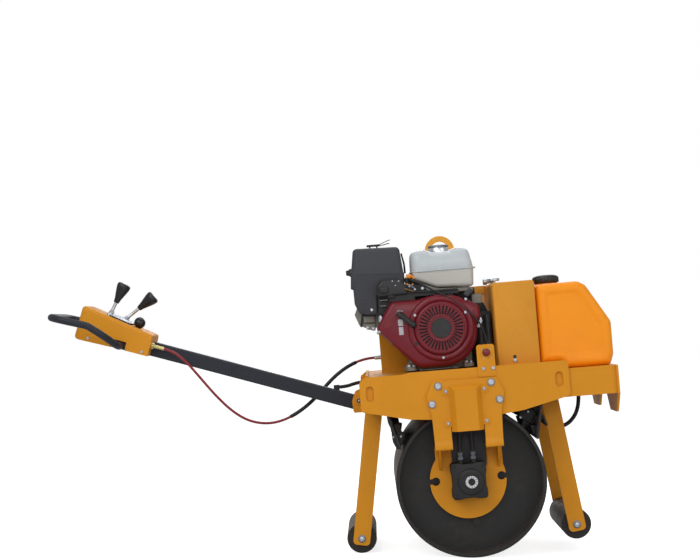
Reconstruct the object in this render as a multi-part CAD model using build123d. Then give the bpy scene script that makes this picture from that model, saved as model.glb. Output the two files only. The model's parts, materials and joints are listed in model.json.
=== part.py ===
from build123d import *
from math import asin, atan2, cos, degrees, hypot, pi, radians, sin, tan
import os

# Walk-behind single-drum vibratory roller. Millimetres. The machine is drawn level, with X forward
# to the water tank, Y to its left and Z up, from the middle of the drum's axis. At the end it is
# tipped back about the drum until the rear support roller meets the floor, which is how it parks.

# ---- driving sizes ----
drum_radius = 250
drum_width = 700
drum_wall = 12
drum_recess = 88            # from the rim to the end plate
drum_side_gap = 40          # from the rim to the side plate
plate_thick = 10
roller_radius = 50
roller_width = 444
axle_radius = 25            # drum stub axle
roller_axle_radius = 10
running_clearance = 0.05    # radial, at every shaft in its bore
seat_gap = 0.3              # at a stop that is touched but not fixed
handle_length = 748         # from the pivot to the control box
handle_rise = 19.3          # degrees, at rest
beam_size = 50
loop_radius = 12.5          # handle tube
loop_half_width = 200
engine_x = -59              # crank axis
eye_radius = 32             # hole for the crane hook
sheet = 3                   # walls of the folded-steel boxes and covers

# ---- levels and lengths that follow ----
half_drum = drum_width / 2
plate_in = half_drum + drum_side_gap
plate_out = plate_in + plate_thick
frame_end = drum_radius + 95
plate_low = drum_radius - 32
deck_low = drum_radius + 112
deck_thick = 10
deck_top = deck_low + deck_thick
plate_top = deck_top + 6
front_end = frame_end + 155
shelf_top = deck_top - 22
shelf_thick = 8
cheek_thick = 8
web_rear = -(frame_end - 23)
web_thick = 10
web_low = plate_low + 44
front_low = plate_low + 39  # underside of the front frame
slot_x = frame_end - 33     # side plate's slots, one near each end
slot_z = deck_top - 54
slot_length = 50
slot_width = 26
pivot = (-(frame_end + 8), deck_top - 86.4)
pin_radius = 10
boss_y = (4, 20)            # conduit's outlet boss on the handle beam


def block(x, y, z):
    """Box between two values on each axis."""
    return Pos((x[0] + x[1]) / 2, (y[0] + y[1]) / 2, (z[0] + z[1]) / 2) * Box(
        abs(x[1] - x[0]), abs(y[1] - y[0]), abs(z[1] - z[0])
    )


def outline(rows):
    """Closed outline from rows of (across, up, corner radius)."""
    sketch = make_face(Polyline(*[(a, b) for a, b, _ in rows], close=True))
    for a, b, radius in rows:
        if radius:
            corner = sketch.vertices().sort_by_distance((a, b, 0))[0]
            sketch = fillet(corner, radius)
    return sketch


def about(centre, rows):
    """Outline whose rows are given from a centre."""
    return outline([(centre[0] + a, centre[1] + b, radius) for a, b, radius in rows])


def side_on(sketch, y_low, y_high):
    """Outline in X and Z, made solid between two values of Y."""
    plane = Plane((0, y_high, 0), x_dir=(1, 0, 0), z_dir=(0, -1, 0))
    return plane * extrude(sketch, y_high - y_low)


def end_on(sketch, x_low, x_high):
    """Outline in Y and Z, made solid between two values of X."""
    plane = Plane((x_low, 0, 0), x_dir=(0, 1, 0), z_dir=(1, 0, 0))
    return plane * extrude(sketch, x_high - x_low)


def bar_y(x, z, radius, y_low, y_high):
    """Round bar along Y."""
    return side_on(Pos(x, z) * Circle(radius), y_low, y_high)


def bar(start, end, radius):
    """Round bar from one point to another."""
    run = Vector(*end) - Vector(*start)
    return Plane(start, z_dir=run) * extrude(Circle(radius), run.length)


def strip(low, high, s_low, s_high, t_low, t_high):
    """Rectangle beside the line from low to high: s along it, t off it to the right going up."""
    run = hypot(high[0] - low[0], high[1] - low[1])
    along = ((high[0] - low[0]) / run, (high[1] - low[1]) / run)
    off = (along[1], -along[0])
    corners = [(s_low, t_low), (s_high, t_low), (s_high, t_high), (s_low, t_high)]
    return [
        (low[0] + s * along[0] + t * off[0], low[1] + s * along[1] + t * off[1], 0)
        for s, t in corners
    ]


def both_sides(part):
    """The part and its mirror image across the machine's middle plane, as separate solids."""
    return Compound([*part.solids(), *mirror(part, Plane.XZ).solids()])


def bend_radii(points):
    """The largest arc that the two runs at each corner of a route allow."""
    at = [Vector(*p) for p in points]
    radii = []
    for before, here, after in zip(at, at[1:], at[2:]):
        shorter = min((here - before).length, (after - here).length)
        turn = radians((here - before).get_angle(after - here))
        radii.append(0.45 * shorter / tan(turn / 2))
    return radii


def tube(name, points, radius):
    """Round tube along straight runs joined by tangent arcs."""
    radii = bend_radii(points)
    path = FilletPolyline(*points, radius=radii)
    section = Plane(path @ 0, z_dir=path % 0) * Circle(radius)
    solid = sweep(section, path=path)
    expected = pi * radius**2 * path.length
    print(f"{name}: length {path.length:.0f}, tightest bend {min(radii):.0f},", end=" ")
    print(f"volume / expected {solid.volume / expected:.4f}")
    return solid


# ---- frame ----
def side_plate():
    """Right-hand plate, with an upright slot near each end."""
    rows = [
        (-frame_end, plate_low + 42, 14),
        (-187, plate_low + 6, 0),
        (-115, plate_low, 0),
        (115, plate_low, 0),
        (187, plate_low + 8, 0),
        (frame_end, plate_low + 44, 12),
        (frame_end, plate_top, 16),
        (-180, plate_top, 10),
        (-205, plate_top - 5, 10),
        (-frame_end + 21, plate_top - 5, 12),
        (-frame_end, plate_top - 22, 12),
    ]
    plate = side_on(outline(rows), -plate_out, -plate_in)
    for x in (-slot_x, slot_x):
        slot = Pos(x, slot_z) * Rot(0, 0, 90) * SlotOverall(slot_length, slot_width)
        plate -= side_on(slot, -plate_out, -plate_in)
    return plate


def deck():
    """Engine deck, and the lower shelf that carries the water tank."""
    top = block((web_rear + web_thick, frame_end - 23), (-plate_in, plate_in), (deck_low, deck_top))
    shelf = block(
        (frame_end - 23, front_end), (-plate_in, plate_in), (shelf_top - shelf_thick, shelf_top)
    )
    return Compound([*top.solids(), *shelf.solids()])


def frame_cheeks():
    """Flat bars inside the side plates: behind the rear slots, and along the front frame."""
    inner = plate_in - cheek_thick
    rear = block((-frame_end + 3, -frame_end + 65), (-plate_in, -inner), (slot_z - 34, deck_low))
    front = block(
        (frame_end - 45, front_end), (-plate_in, -inner), (front_low, shelf_top - shelf_thick)
    )
    return both_sides(Compound([*rear.solids(), *front.solids()]))


def rear_crossmember():
    """Plate across the rear, notched where the raised handle's conduit boss comes."""
    x = (web_rear, web_rear + web_thick)
    width = plate_in - cheek_thick
    notch = block(x, (boss_y[0] - 6, boss_y[1] + 6), (plate_top - 20, plate_top))
    return block(x, (-width, width), (web_low, plate_top)) - notch


tooth_drop = 65
tooth_width = 160


def front_plate():
    """End plate with two teeth that hang below the frame."""
    tooth = front_low - tooth_drop
    outer = plate_out - 80
    inner = outer - tooth_width
    rows = [
        (-plate_out, front_low, 0), (-outer, tooth, 6), (-inner, tooth, 6),
        (88 - inner, front_low, 0), (inner - 88, front_low, 0), (inner, tooth, 6),
        (outer, tooth, 6), (plate_out, front_low, 0), (plate_out, shelf_top, 4),
        (-plate_out, shelf_top, 4),
    ]
    return end_on(outline(rows), front_end, front_end + shelf_thick)


# ---- handle joint ----
ear_in = beam_size / 2 + 27
ear_thick = 10
pin_head = 3
beam_low = -(beam_size / 2 + 10)    # beam's underside, below the pivot
beam_start = 2
rise = radians(handle_rise)
stop_z = pivot[1] + beam_start * sin(rise) + beam_low * cos(rise) - seat_gap


def handle_bracket():
    """Two ears joined by a shelf that the handle beam's lower corner rests on."""
    rear = pivot[0] - 24
    rows = [
        (web_rear, stop_z - 8, 0), (rear + 3, stop_z - 8, 8), (rear, pivot[1], 14),
        (rear + 12, pivot[1] + 30, 14), (web_rear, pivot[1] + 46, 0),
    ]
    ear = side_on(outline(rows), -(ear_in + ear_thick), -ear_in)
    ear -= bar_y(*pivot, pin_radius + running_clearance, -(ear_in + ear_thick), -ear_in)
    shelf = block((rear + 5, web_rear), (-ear_in, ear_in), (stop_z - 8, stop_z))
    return ear + mirror(ear, Plane.XZ) + shelf


def pivot_pin():
    outer = ear_in + ear_thick
    pin = bar_y(*pivot, pin_radius, -outer, outer)
    for low, high in ((-outer - pin_head, -outer), (outer, outer + pin_head)):
        pin += bar_y(*pivot, pin_radius + 2.5, low, high)
    return pin


# ---- support rollers ----
leg_in = roller_width / 2 + 7
leg_thick = 12
leg_width = 57
leg_toe = 22                # leg's square end, below its axle
roller_wall = 6
roller_disc = 8
roller_low = drum_radius - 79.8
rear_roller_at = (-(drum_radius + 128), -roller_low)
front_roller_at = (drum_radius + 96, -roller_low - 9)


def stand_legs():
    """Flat legs from the deck down to the ends of both roller axles."""
    half = leg_width / 2
    legs = []
    # columns: roller centre, leg's middle where it meets the deck, x that its top keeps ahead of
    for foot, top_x, keep in (
        (rear_roller_at, web_rear + 37, web_rear + web_thick),
        (front_roller_at, frame_end - 71, None),
    ):
        high = (top_x, deck_low)
        run = hypot(high[0] - foot[0], high[1] - foot[1])
        rows = strip(foot, high, -leg_toe, run + leg_width, -half, half)
        for corner in (0, 3):
            rows[corner] = (*rows[corner][:2], 14)
        leg = side_on(outline(rows), -(leg_in + leg_thick), -leg_in)
        leg -= bar_y(*foot, roller_axle_radius + running_clearance, -(leg_in + leg_thick), -leg_in)
        leg -= block((-900, 900), (-leg_in - 99, 0), (deck_low, deck_low + 99))
        if keep:
            leg -= block((keep - 99, keep), (-leg_in - 99, 0), (web_low - 1, deck_low + 1))
        legs += leg.solids()
    return both_sides(Compound(legs))


def roller_axles():
    reach = leg_in + leg_thick
    axles = []
    for at in (rear_roller_at, front_roller_at):
        axle = bar_y(*at, roller_axle_radius, -reach, reach)
        for low, high in ((-reach - 8, -reach), (reach, reach + 8)):
            axle += bar_y(*at, roller_axle_radius + 5, low, high)
        axles += axle.solids()
    return Compound(axles)


def support_roller(at):
    """Hollow steel roller with two end discs and two shallow grooves."""
    half = roller_width / 2
    inner = half - roller_disc
    shell = bar_y(*at, roller_radius, -half, half)
    shell -= bar_y(*at, roller_radius - roller_wall, -inner, inner)
    shell -= bar_y(*at, roller_axle_radius + running_clearance, -half, half)
    for middle in (-half / 3, half / 3):
        low, high = middle - 3, middle + 3
        shell -= bar_y(*at, roller_radius + 9, low, high) - bar_y(*at, roller_radius - 2, low, high)
    return shell


# ---- drum and what carries it ----
end_plate = half_drum - drum_recess
mount_in = end_plate + 18
mount_thick = 10
mount_out = mount_in + mount_thick
mount_radius = 128
fork_thick = 10
fork_out = plate_out + fork_thick
fork_low = mount_radius - 2
leg_gap = 55                # half the gap between a fork's legs
fork_half = 112


def drum():
    """Open-ended shell with an end plate and a bearing hub set back from each rim."""
    hub_out, hub_in = -(end_plate + 4), -(end_plate - 32)
    shell = bar_y(0, 0, drum_radius, -half_drum, half_drum)
    shell = chamfer(shell.edges().filter_by(GeomType.CIRCLE), 3)
    shell -= bar_y(0, 0, drum_radius - drum_wall, -half_drum, half_drum)
    plate = bar_y(0, 0, drum_radius - drum_wall, -end_plate, -(end_plate - drum_wall))
    hub = bar_y(0, 0, axle_radius + 35, hub_out, hub_in)
    plug = bar_y(9, 100 - (drum_radius - drum_wall), 13, -(end_plate + 8), -end_plate)
    end = plate + hub + plug - bar_y(0, 0, axle_radius + running_clearance, hub_out, hub_in)
    return shell + end + mirror(end, Plane.XZ)


def drum_axles():
    """Flanged stub on the inner face of each motor mount."""
    flange = bar_y(0, 0, axle_radius + 25, -mount_in, -(mount_in - 8))
    return both_sides(flange + bar_y(0, 0, axle_radius, -mount_in, -(end_plate - 36)))


def drum_forks():
    """Plate bolted outside each side plate, with two legs beside the hose opening."""
    shoulder = plate_top - 84
    rows = [
        (-fork_half, fork_low, 0), (-115, plate_low + 14, 0), (-128, shoulder, 12),
        (-105, plate_top - 35, 12), (105, plate_top - 35, 12), (128, shoulder, 12),
        (115, plate_low + 14, 0), (fork_half, fork_low, 0), (leg_gap, fork_low, 0),
        (leg_gap, plate_low - 16, 16), (-leg_gap, plate_low - 16, 16), (-leg_gap, fork_low, 0),
    ]
    return both_sides(side_on(outline(rows), -fork_out, -plate_out))


def motor_mounts():
    """Disc inside each drum end, hung from the fork's legs by two gusseted shelves."""
    disc = Pos(-8, 3) * Circle(mount_radius)
    disc += Pos(0, fork_low / 2) * Rectangle(2 * fork_half, fork_low)
    # columns: middle of each edge notch's round end, direction to its mouth
    for x, z, out in ((6 - mount_radius + 6, 5, -1), (mount_radius - 24, 9, 1)):
        disc -= Pos(x, z) * Circle(14) + Pos(x + out * 25, z) * Rectangle(50, 18)
    mount = side_on(disc, -mount_out, -mount_in)
    under = fork_low - fork_thick
    gusset = outline([(-mount_out, under, 0), (-fork_out + 15, under, 0), (-mount_out, 40, 0)])
    for side in (-1, 1):
        across = sorted((side * leg_gap, side * fork_half))
        mount += block(across, (-fork_out, -mount_in), (under, fork_low))
        middle = side * (fork_half - 14)
        mount += end_on(gusset, middle - 4, middle + 4)
    return both_sides(mount)


drive_ports = (-30, 13)     # hose fittings' x on the drive motor
vibration_ports = (-24, 24)
port_y = mount_out + 42
port_step = 12              # the vibration motor's fittings stand this much further in
port_top = 98
nut_high = 22


def hose_fitting(x, y, low):
    """Round neck with a hexagon nut on top."""
    nut = Pos(x, y, port_top - nut_high) * extrude(RegularPolygon(13, 6), nut_high)
    return bar((x, y, low), (x, y, port_top - nut_high), 9) + nut


def drive_motor():
    """Square hydraulic motor on the right-hand mount, with a stepped round end cap."""
    body = side_on(RectangleRounded(121, 125, 18), -(mount_out + 62), -mount_out)
    for radius, depth in ((42, 68), (21, 73)):
        body += bar_y(0, 0, radius, -(mount_out + depth), -(mount_out + 62))
    for x in drive_ports:
        body += hose_fitting(x, -port_y, 55)
    return body


def vibration_motor():
    """Round hydraulic motor on the left-hand mount."""
    body = bar_y(0, 0, 56, mount_out, mount_out + 40) + bar_y(0, 0, 44, mount_out, mount_out + 60)
    for x in vibration_ports:
        body += hose_fitting(x, port_y - port_step, 40)
    return body


guard_low = 174
guard_high = plate_top - 55
guard_depth = 26
guard_half = leg_gap - 2


def guard_form(inset, depth, drop, low):
    """Tapered block whose outer face is smaller than its base on three sides."""
    levels = []
    for y, half, high in (
        (-fork_out, guard_half - inset, guard_high - drop),
        (-(fork_out + depth), guard_half - 17 - inset, guard_high - 13 - drop),
    ):
        plane = Plane((0, y, 0), x_dir=(1, 0, 0), z_dir=(0, -1, 0))
        levels.append(plane * Pos(0, (low + high) / 2) * Rectangle(2 * half, high - low))
    return loft(levels)


def hose_guards():
    """Bevelled cover over the hose opening, open below, with four bolting tabs."""
    cover = guard_form(0, guard_depth, 0, guard_low)
    cover -= guard_form(sheet, guard_depth - sheet, sheet + 1, guard_low - 5)
    for z in (guard_high - 16, guard_low + 28):
        for side in (-1, 1):
            x = sorted((side * (guard_half - 1.5), side * (guard_half + 23)))
            cover += block(x, (-(fork_out + sheet), -fork_out), (z - 11, z + 11))
    return both_sides(cover)


# ---- scrapers and sprinkler ----
blade_thick = 6
blade_low = drum_radius - 123
blade_top = plate_low + 40
rear_blade = ((-(drum_radius - 24), blade_low), (-(drum_radius + 14), blade_top))
front_blade = ((drum_radius - 24, blade_low), (drum_radius + 2, blade_top))


def scrapers():
    blades = []
    for low, high in (rear_blade, front_blade):
        run = hypot(high[0] - low[0], high[1] - low[1])
        half = blade_thick / 2
        blades += side_on(outline(strip(low, high, 0, run, -half, half)), -plate_in, plate_in).solids()
    return Compound(blades)


def spray_bar():
    """Sprinkler pipe above the drum, between the side plates."""
    return bar_y(drum_radius - 24, plate_low + 50, 9, -plate_in, plate_in)


barb_start = (drum_radius + 8, -50, blade_low + 55)
hose_end = (drum_radius + 26, -50, blade_low + 38)


def spray_valve():
    """Shut-off block on the front blade, with a barb for the water hose."""
    half = blade_thick / 2
    body = side_on(outline(strip(*front_blade, 34, 88, half, half + 24)), -75, -25)
    return body + bar(barb_start, hose_end, 5.5)


# ---- tanks ----
def rounded_box(x, y, z, radius, edge):
    """Box with rounded upright corners and softened top edges."""
    body = block(x, y, z)
    body = fillet(body.edges().filter_by(Axis.Z), radius)
    return fillet(body.faces().sort_by(Axis.Z)[-1].edges(), edge)


tank_rear = 120
tank_front = 259
tank_top = deck_top + 279
tank_wall = 4


def hydraulic_tank():
    half = half_drum + 10
    inner = half - tank_wall
    shell = rounded_box((tank_rear, tank_front), (-half, half), (deck_top, tank_top), 10, 5)
    return shell - block(
        (tank_rear + tank_wall, tank_front - tank_wall), (-inner, inner),
        (deck_top + tank_wall, tank_top - tank_wall),
    )


def tank_breather():
    """Filter cap on a short neck."""
    x, y = tank_rear + 30, 60
    neck = bar((x, y, tank_top), (x, y, tank_top + 12), 14)
    return neck + bar((x, y, tank_top + 12), (x, y, tank_top + 24), 24)


water_top = deck_top + 260
water_rear = tank_front + 3
water_wall = 9
panel_depth = 3


def water_tank():
    """Moulded tank with a sloping front and a shallow panel in each side."""
    front = front_end + 4
    rows = [
        (water_rear, deck_top + 1, 8), (frame_end - 21, deck_top + 1, 6),
        (frame_end - 1, shelf_top, 6), (front - 12, shelf_top, 14), (front, shelf_top + 36, 16),
        (front, water_top - 138, 26), (front - 75, water_top - 14, 26),
        (front - 100, water_top, 26), (water_rear, water_top, 16),
    ]
    face = outline(rows)
    body = side_on(face, -half_drum, half_drum)
    body = fillet(body.faces().filter_by(Axis.Y).edges(), 10)
    panel = offset(face, -30, kind=Kind.INTERSECTION)
    for low in (-half_drum, half_drum - panel_depth):
        body -= side_on(panel, low, low + panel_depth)
    hollow = offset(face, -water_wall, kind=Kind.INTERSECTION)
    return body - side_on(hollow, -half_drum + water_wall, half_drum - water_wall)


def water_cap():
    x, y = water_rear + 54, -150
    cap = bar((x, y, water_top), (x, y, water_top + 36), 44)
    return fillet(cap.edges().sort_by(Axis.Z)[-1], 12)


# ---- lifting frame, beside the engine ----
shroud_face = -(plate_out - 65)
shroud_back = shroud_face + 85
post_y = shroud_back + 340
post_rear = engine_x - 206
post_front = post_rear + 99
post_half = 30
post_wall = 5
lift_low = deck_top + 246
lift_high = lift_low + 32
eye_at = (engine_x + 32, lift_high + 136)
eye_thick = 12


def lifting_post():
    """Upright box section from the deck to the lifting beam."""
    inner = post_half - post_wall
    outer = block(
        (post_rear, post_front), (post_y - post_half, post_y + post_half), (deck_top, lift_low)
    )
    return outer - block(
        (post_rear + post_wall, post_front - post_wall), (post_y - inner, post_y + inner),
        (deck_top, lift_low),
    )


def lifting_beam():
    return block((post_rear, tank_rear), (post_y - 20, post_y + 20), (lift_low, lift_high))


def lifting_eye():
    """Upright plate with the crane hook's hole."""
    outer = eye_radius + 20
    half_foot = outer + 23
    foot = lift_high - eye_at[1]
    rows = [(-half_foot, foot, 0), (half_foot, foot, 0), (outer - 2, 0, 0), (2 - outer, 0, 0)]
    face = about(eye_at, rows) + Pos(*eye_at) * Circle(outer) - Pos(*eye_at) * Circle(eye_radius)
    return side_on(face, post_y - eye_thick / 2, post_y + eye_thick / 2)


# ---- engine, drawn from its crank axis ----
engine_low = deck_top + 8
crank = (engine_x, engine_low + 136)
case_back = shroud_back + 295
case_rear = engine_x - 101
case_front = engine_x + 99
case_top = crank[1] + 84
fuel_low = crank[1] + 139
tilt = radians(25)          # cylinder above level, to the rear
fin_pitch = 15


def engine_mounts():
    pads = []
    for x in (engine_x - 100, engine_x + 82):
        for y in (shroud_back + 25, case_back - 30):
            pads += block((x - 20, x + 20), (y - 20, y + 20), (deck_top, engine_low)).solids()
    return Compound(pads)


def engine_block():
    """Crankcase with its base flange and the two ribs that carry the fuel tank."""
    flange_top = engine_low + 10
    body = block((case_rear, case_front), (shroud_back, case_back), (flange_top, case_top))
    body = fillet(body.edges().filter_by(Axis.Y), 16)
    body += block(
        (case_rear - 25, case_front + 5), (shroud_back, case_back), (engine_low, flange_top)
    )
    for x in (engine_x + 20, engine_x + 75):
        rib = (shroud_back + 40, shroud_back + 170)
        body += block((x - 8, x + 8), rib, (case_top - 2, fuel_low))
    return body


shroud_wall = 4
shroud_top = crank[1] + 100


def fan_shroud():
    """Pressed cover over the flywheel fan, open behind, that widens towards the cylinder."""
    rows = [
        (-207, 3, 14), (-89, -131, 50), (121, -131, 114), (121, 12, 8), (136, 29, 10),
        (132, 64, 16), (103, 84, 20), (46, 109, 40), (-34, 109, 40), (-72, 100, 8),
        (-168, 100, 16), (-191, 74, 20),
    ]
    face = about(crank, rows)
    cover = side_on(face, shroud_face, shroud_back)
    cover = fillet(cover.faces().sort_by(Axis.Y)[0].edges(), 9)
    inner = offset(face, -10, kind=Kind.INTERSECTION)
    return cover - side_on(inner, shroud_face + shroud_wall, shroud_back)


recoil_radius = 88
recoil_depth = 17
recoil_slots = 36


def recoil_cover():
    """Starter cover: a cup with a ring of radial air slots."""
    face = shroud_face - recoil_depth
    cup = bar_y(*crank, recoil_radius, face, shroud_face)
    cup = fillet(cup.edges().filter_by(GeomType.CIRCLE).sort_by(Axis.Y)[0], 7)
    cup -= bar_y(*crank, recoil_radius - 5, face + shroud_wall, shroud_face)
    slot = Pos(60, 0) * Rectangle(28, 5)
    ring = Sketch() + [Rot(0, 0, 360 * i / recoil_slots) * slot for i in range(recoil_slots)]
    return cup - side_on(Pos(*crank) * ring, face, shroud_face)


def cylinder_head():
    """Barrel and head that lean back from the crankcase, with grooves between the fins."""
    reach = 300
    top = (crank[0] - reach * cos(tilt), crank[1] + reach * sin(tilt))
    body = side_on(outline(strip(crank, top, 90, 205, -75, 60)), shroud_back, shroud_back + 130)
    head = side_on(outline(strip(crank, top, 205, 285, -88, 30)), shroud_back, shroud_back + 135)
    body += chamfer(head.edges().filter_by(Axis.Y).sort_by(Axis.X)[0], 28)
    for groove in range(6):
        s = 112 + fin_pitch * groove
        for t_low, t_high in ((50, 80), (-90, -62)):
            gap = outline(strip(crank, top, s, s + 7, t_low, t_high))
            body -= side_on(gap, shroud_back - 1, shroud_back + 200)
    ahead = case_rear + 300
    return body - block((case_rear, ahead), (shroud_back - 1, shroud_back + 200), (300, 900))


cleaner_at = (crank[0] - 194, crank[1] + 200.5)     # middle of the seam under its cover
cleaner_tip = 4.6           # degrees nose down
cleaner_half = 89
cleaner_deep = 56           # from the seam to the base's underside


def air_cleaner():
    """Filter box with its cover, side knob and the duct down to the head."""
    y = (shroud_face + 25, shroud_face + 195)
    half = cleaner_half
    base = block((-half, half), y, (-cleaner_deep, 0))
    base = fillet(base.edges().filter_by(Axis.Z), 14)
    cover = [(-half + 2, -1, 0), (half - 2, -1, 0), (half - 16, 84, 15), (-half + 4, 76, 15)]
    lid = side_on(outline(cover), y[0] + 4, y[1] - 4)
    for end in (0, -1):
        edges = lid.faces().sort_by(Axis.Y)[end].edges()
        lid = fillet(edges.sort_by(Axis.Z)[1:], 10)
    knob = bar((-half + 8, -225, 21), (-half - 22, -225, 21), 12)
    box = Pos(cleaner_at[0], 0, cleaner_at[1]) * Rot(0, cleaner_tip, 0) * (base + lid + knob)
    rows = [
        (-281, 157, 0), (-279, 107, 10), (-262, 72, 14), (-206, 62, 14), (-196, 100, 10),
        (-190, 150, 0),
    ]
    return box + side_on(about(crank, rows), y[0], shroud_back)


fuel_y = (shroud_face + 23, shroud_face + 275)
fuel_top = fuel_low + 125


def fuel_tank():
    """Two pressings joined at a lip."""
    seam = fuel_low + 56
    rear = engine_x - 83
    lower = [
        (rear + 2, seam, 0), (rear + 4, fuel_low + 29, 10), (rear + 54, fuel_low + 23, 10),
        (rear + 86, fuel_low, 10), (rear + 202, fuel_low, 10), (rear + 206, seam, 0),
    ]
    upper = [
        (rear, seam, 0), (rear + 207, seam, 0), (rear + 194, fuel_top - 12, 12),
        (rear + 176, fuel_top, 12), (rear, fuel_top, 18),
    ]
    inner_y = (fuel_y[0] + sheet, fuel_y[1] - sheet)
    body = block((rear - 4, rear + 216), (fuel_y[0] - 5, fuel_y[1] + 5), (seam - 4, seam + 1))
    hollow = block((rear + 10, rear + 198), inner_y, (seam - 9, seam + 9))
    for rows in (lower, upper):
        face = outline(rows)
        body += side_on(face, *fuel_y)
        hollow += side_on(offset(face, -sheet, kind=Kind.INTERSECTION), *inner_y)
    return body - hollow


def fuel_cap():
    x, y = engine_x + 17, shroud_face + 145
    cap = bar((x, y, fuel_top), (x, y, fuel_top + 17), 35)
    return fillet(cap.edges().sort_by(Axis.Z)[-1], 4)


def muffler():
    y = (shroud_back + 135, shroud_back + 290)
    return rounded_box((engine_x - 269, engine_x - 159), y, (crank[1] + 72, crank[1] + 174), 20, 14)


def carburettor():
    """Body under the filter's front edge, and the control base along the shroud's top."""
    base_top = shroud_top + 28
    y = (shroud_face + 14, shroud_back - 8)
    base = block((engine_x - 169, engine_x + 67), y, (shroud_top + 11, base_top))
    base += block((engine_x - 163, engine_x - 78), y, (shroud_top, base_top))
    ahead = engine_x - 101
    lean = radians(cleaner_tip)
    under = cleaner_at[1] - (ahead - cleaner_at[0]) * tan(lean) - cleaner_deep / cos(lean)
    body = block((ahead - 44, ahead), (shroud_face + 30, shroud_face + 75), (base_top, under))
    return base + body


def hydraulic_pump():
    """Bell housing and tandem pump on the crankcase's output face."""
    housing_end = case_back + 22
    pump = block(
        (crank[0] - 45, crank[0] + 45), (housing_end, case_back + 200), (crank[1] - 46, crank[1] + 46)
    )
    return bar_y(*crank, 72, case_back, housing_end) + fillet(pump.edges().filter_by(Axis.Y), 12)


def manifold():
    """Valve block on the deck between the engine and the hydraulic tank."""
    y = (shroud_back + 45, shroud_back + 190)
    return block((tank_rear - 54, tank_rear - 4), y, (deck_top, deck_top + 188))


switch_low = deck_top - 27
switch_thick = 3
switch_x = (48, 107)


def stop_switch_bracket():
    """Upright tab on the right-hand plate, rounded at its top corners."""
    rear, front = switch_x
    high = switch_low + 106
    rows = [(rear, switch_low, 0), (front, switch_low, 0), (front, high, 9), (rear, high, 9)]
    return side_on(outline(rows), -(plate_out + switch_thick), -plate_out)


def stop_button():
    y = -(plate_out + switch_thick)
    at = (switch_x[0] + 32, switch_low + 79)
    return bar_y(*at, 14, y - 4, y) + bar_y(*at, 11, y - 14, y - 4)


# ---- handle, drawn along its beam: u to the rear from the pivot, w to the right, v up ----
handle_plane = Plane(
    (pivot[0], 0, pivot[1]), x_dir=(-cos(rise), 0, sin(rise)), z_dir=(sin(rise), 0, cos(rise))
)
hub_half = ear_in - 6
beam_wall = 4
boss_back = 65              # outlet boss's front face, behind the pivot
boss_x = pivot[0] - boss_back
boss_z = pivot[1] + boss_back * tan(rise) + (beam_low + beam_size) / cos(rise) + 11.75
box_length = 255
box_half = 100
box_front_high = 39
box_rear_high = 79
box_end = handle_length + box_length
loop_foot = handle_length + 99      # where the loop's ends meet the box


def at_handle(u, w, v):
    """Machine coordinates of a point given along the handle."""
    point = handle_plane.from_local_coords(Vector(u, w, v))
    return (point.X, point.Y, point.Z)


def along_handle(sketch, w_low, w_high):
    """Outline in u and v, made solid between two values of w."""
    plane = Plane((0, w_high, 0), x_dir=(1, 0, 0), z_dir=(0, -1, 0))
    return handle_plane * (plane * extrude(sketch, w_high - w_low))


def handle_beam():
    """Square tube welded to a cross bush on the pivot pin."""
    half = beam_size / 2
    middle = beam_low + half
    length = handle_length - beam_start
    outer = Pos(beam_start + length / 2, 0, middle) * Box(length, beam_size, beam_size)
    outer = fillet(outer.edges().filter_by(Axis.X), 5)
    hollow = beam_size - 2 * beam_wall
    inner = Pos(60 + length / 2, 0, middle) * Box(length, hollow, hollow)
    bush = Plane.XZ * extrude(Circle(pin_radius + 10), hub_half, both=True)
    bore = Plane.XZ * extrude(Circle(pin_radius + running_clearance), hub_half, both=True)
    boss = block((boss_x - 20, boss_x), boss_y, (boss_z - 14, boss_z + 8))
    return handle_plane * (outer + bush - inner - bore) + boss


def control_box():
    """Sheet-metal box on the end of the beam, deeper at the rear."""
    rows = [
        (handle_length, beam_low, 4), (box_end, beam_low, 14), (box_end, box_rear_high, 12),
        (handle_length, box_front_high, 12),
    ]
    face = outline(rows)
    shell = along_handle(face, -box_half, box_half)
    inner_half = box_half - sheet
    shell -= along_handle(offset(face, -sheet, kind=Kind.INTERSECTION), -inner_half, inner_half)
    notch = Pos(loop_foot - 4, beam_low + 13) * Rectangle(20, 28)
    for w in (-box_half, inner_half):
        shell -= along_handle(notch, w, w + sheet)
    return shell


def handle_loop():
    """Bent tube round the control box, from one side wall to the other."""
    # columns: u, w, v on the right-hand side, from the box wall to the rear corner
    arm = [
        (loop_foot, box_half, beam_low + 9), (loop_foot, 146, beam_low + 9),
        (handle_length + 156, loop_half_width, 0), (box_end - 44, loop_half_width, 17),
        (box_end + 90, loop_half_width, 11),
    ]
    points = arm + [(u, -w, v) for u, w, v in reversed(arm)]
    radii = [min(r, 62) for r in bend_radii(points)]
    path = FilletPolyline(*points, radius=radii)
    section = Plane(path @ 0, z_dir=path % 0) * Circle(loop_radius)
    return handle_plane * sweep(section, path=path)


def box_top(u):
    """Height of the control box's top face."""
    return box_front_high + (u - handle_length) / box_length * (box_rear_high - box_front_high)


def on_box_top(u, w):
    """Plane on the control box's sloping top face."""
    slope = atan2(box_rear_high - box_front_high, box_length)
    return handle_plane * Plane(
        (u, w, box_top(u)), x_dir=(cos(slope), 0, sin(slope)), z_dir=(-sin(slope), 0, cos(slope))
    )


# columns: foot u, w, tip u, tip v
lever_rows = (
    (handle_length + 166, 45, handle_length + 143, 180),
    (handle_length + 126, -45, handle_length + 43, 165),
)


def lever_points(row):
    """Foot on the box, where the grip begins, and the tip."""
    foot_u, w, tip_u, tip_v = row
    foot = Vector(*at_handle(foot_u, w, box_top(foot_u) - 2))
    tip = Vector(*at_handle(tip_u, w, tip_v))
    return foot, foot + (tip - foot) * 0.42, tip


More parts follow.
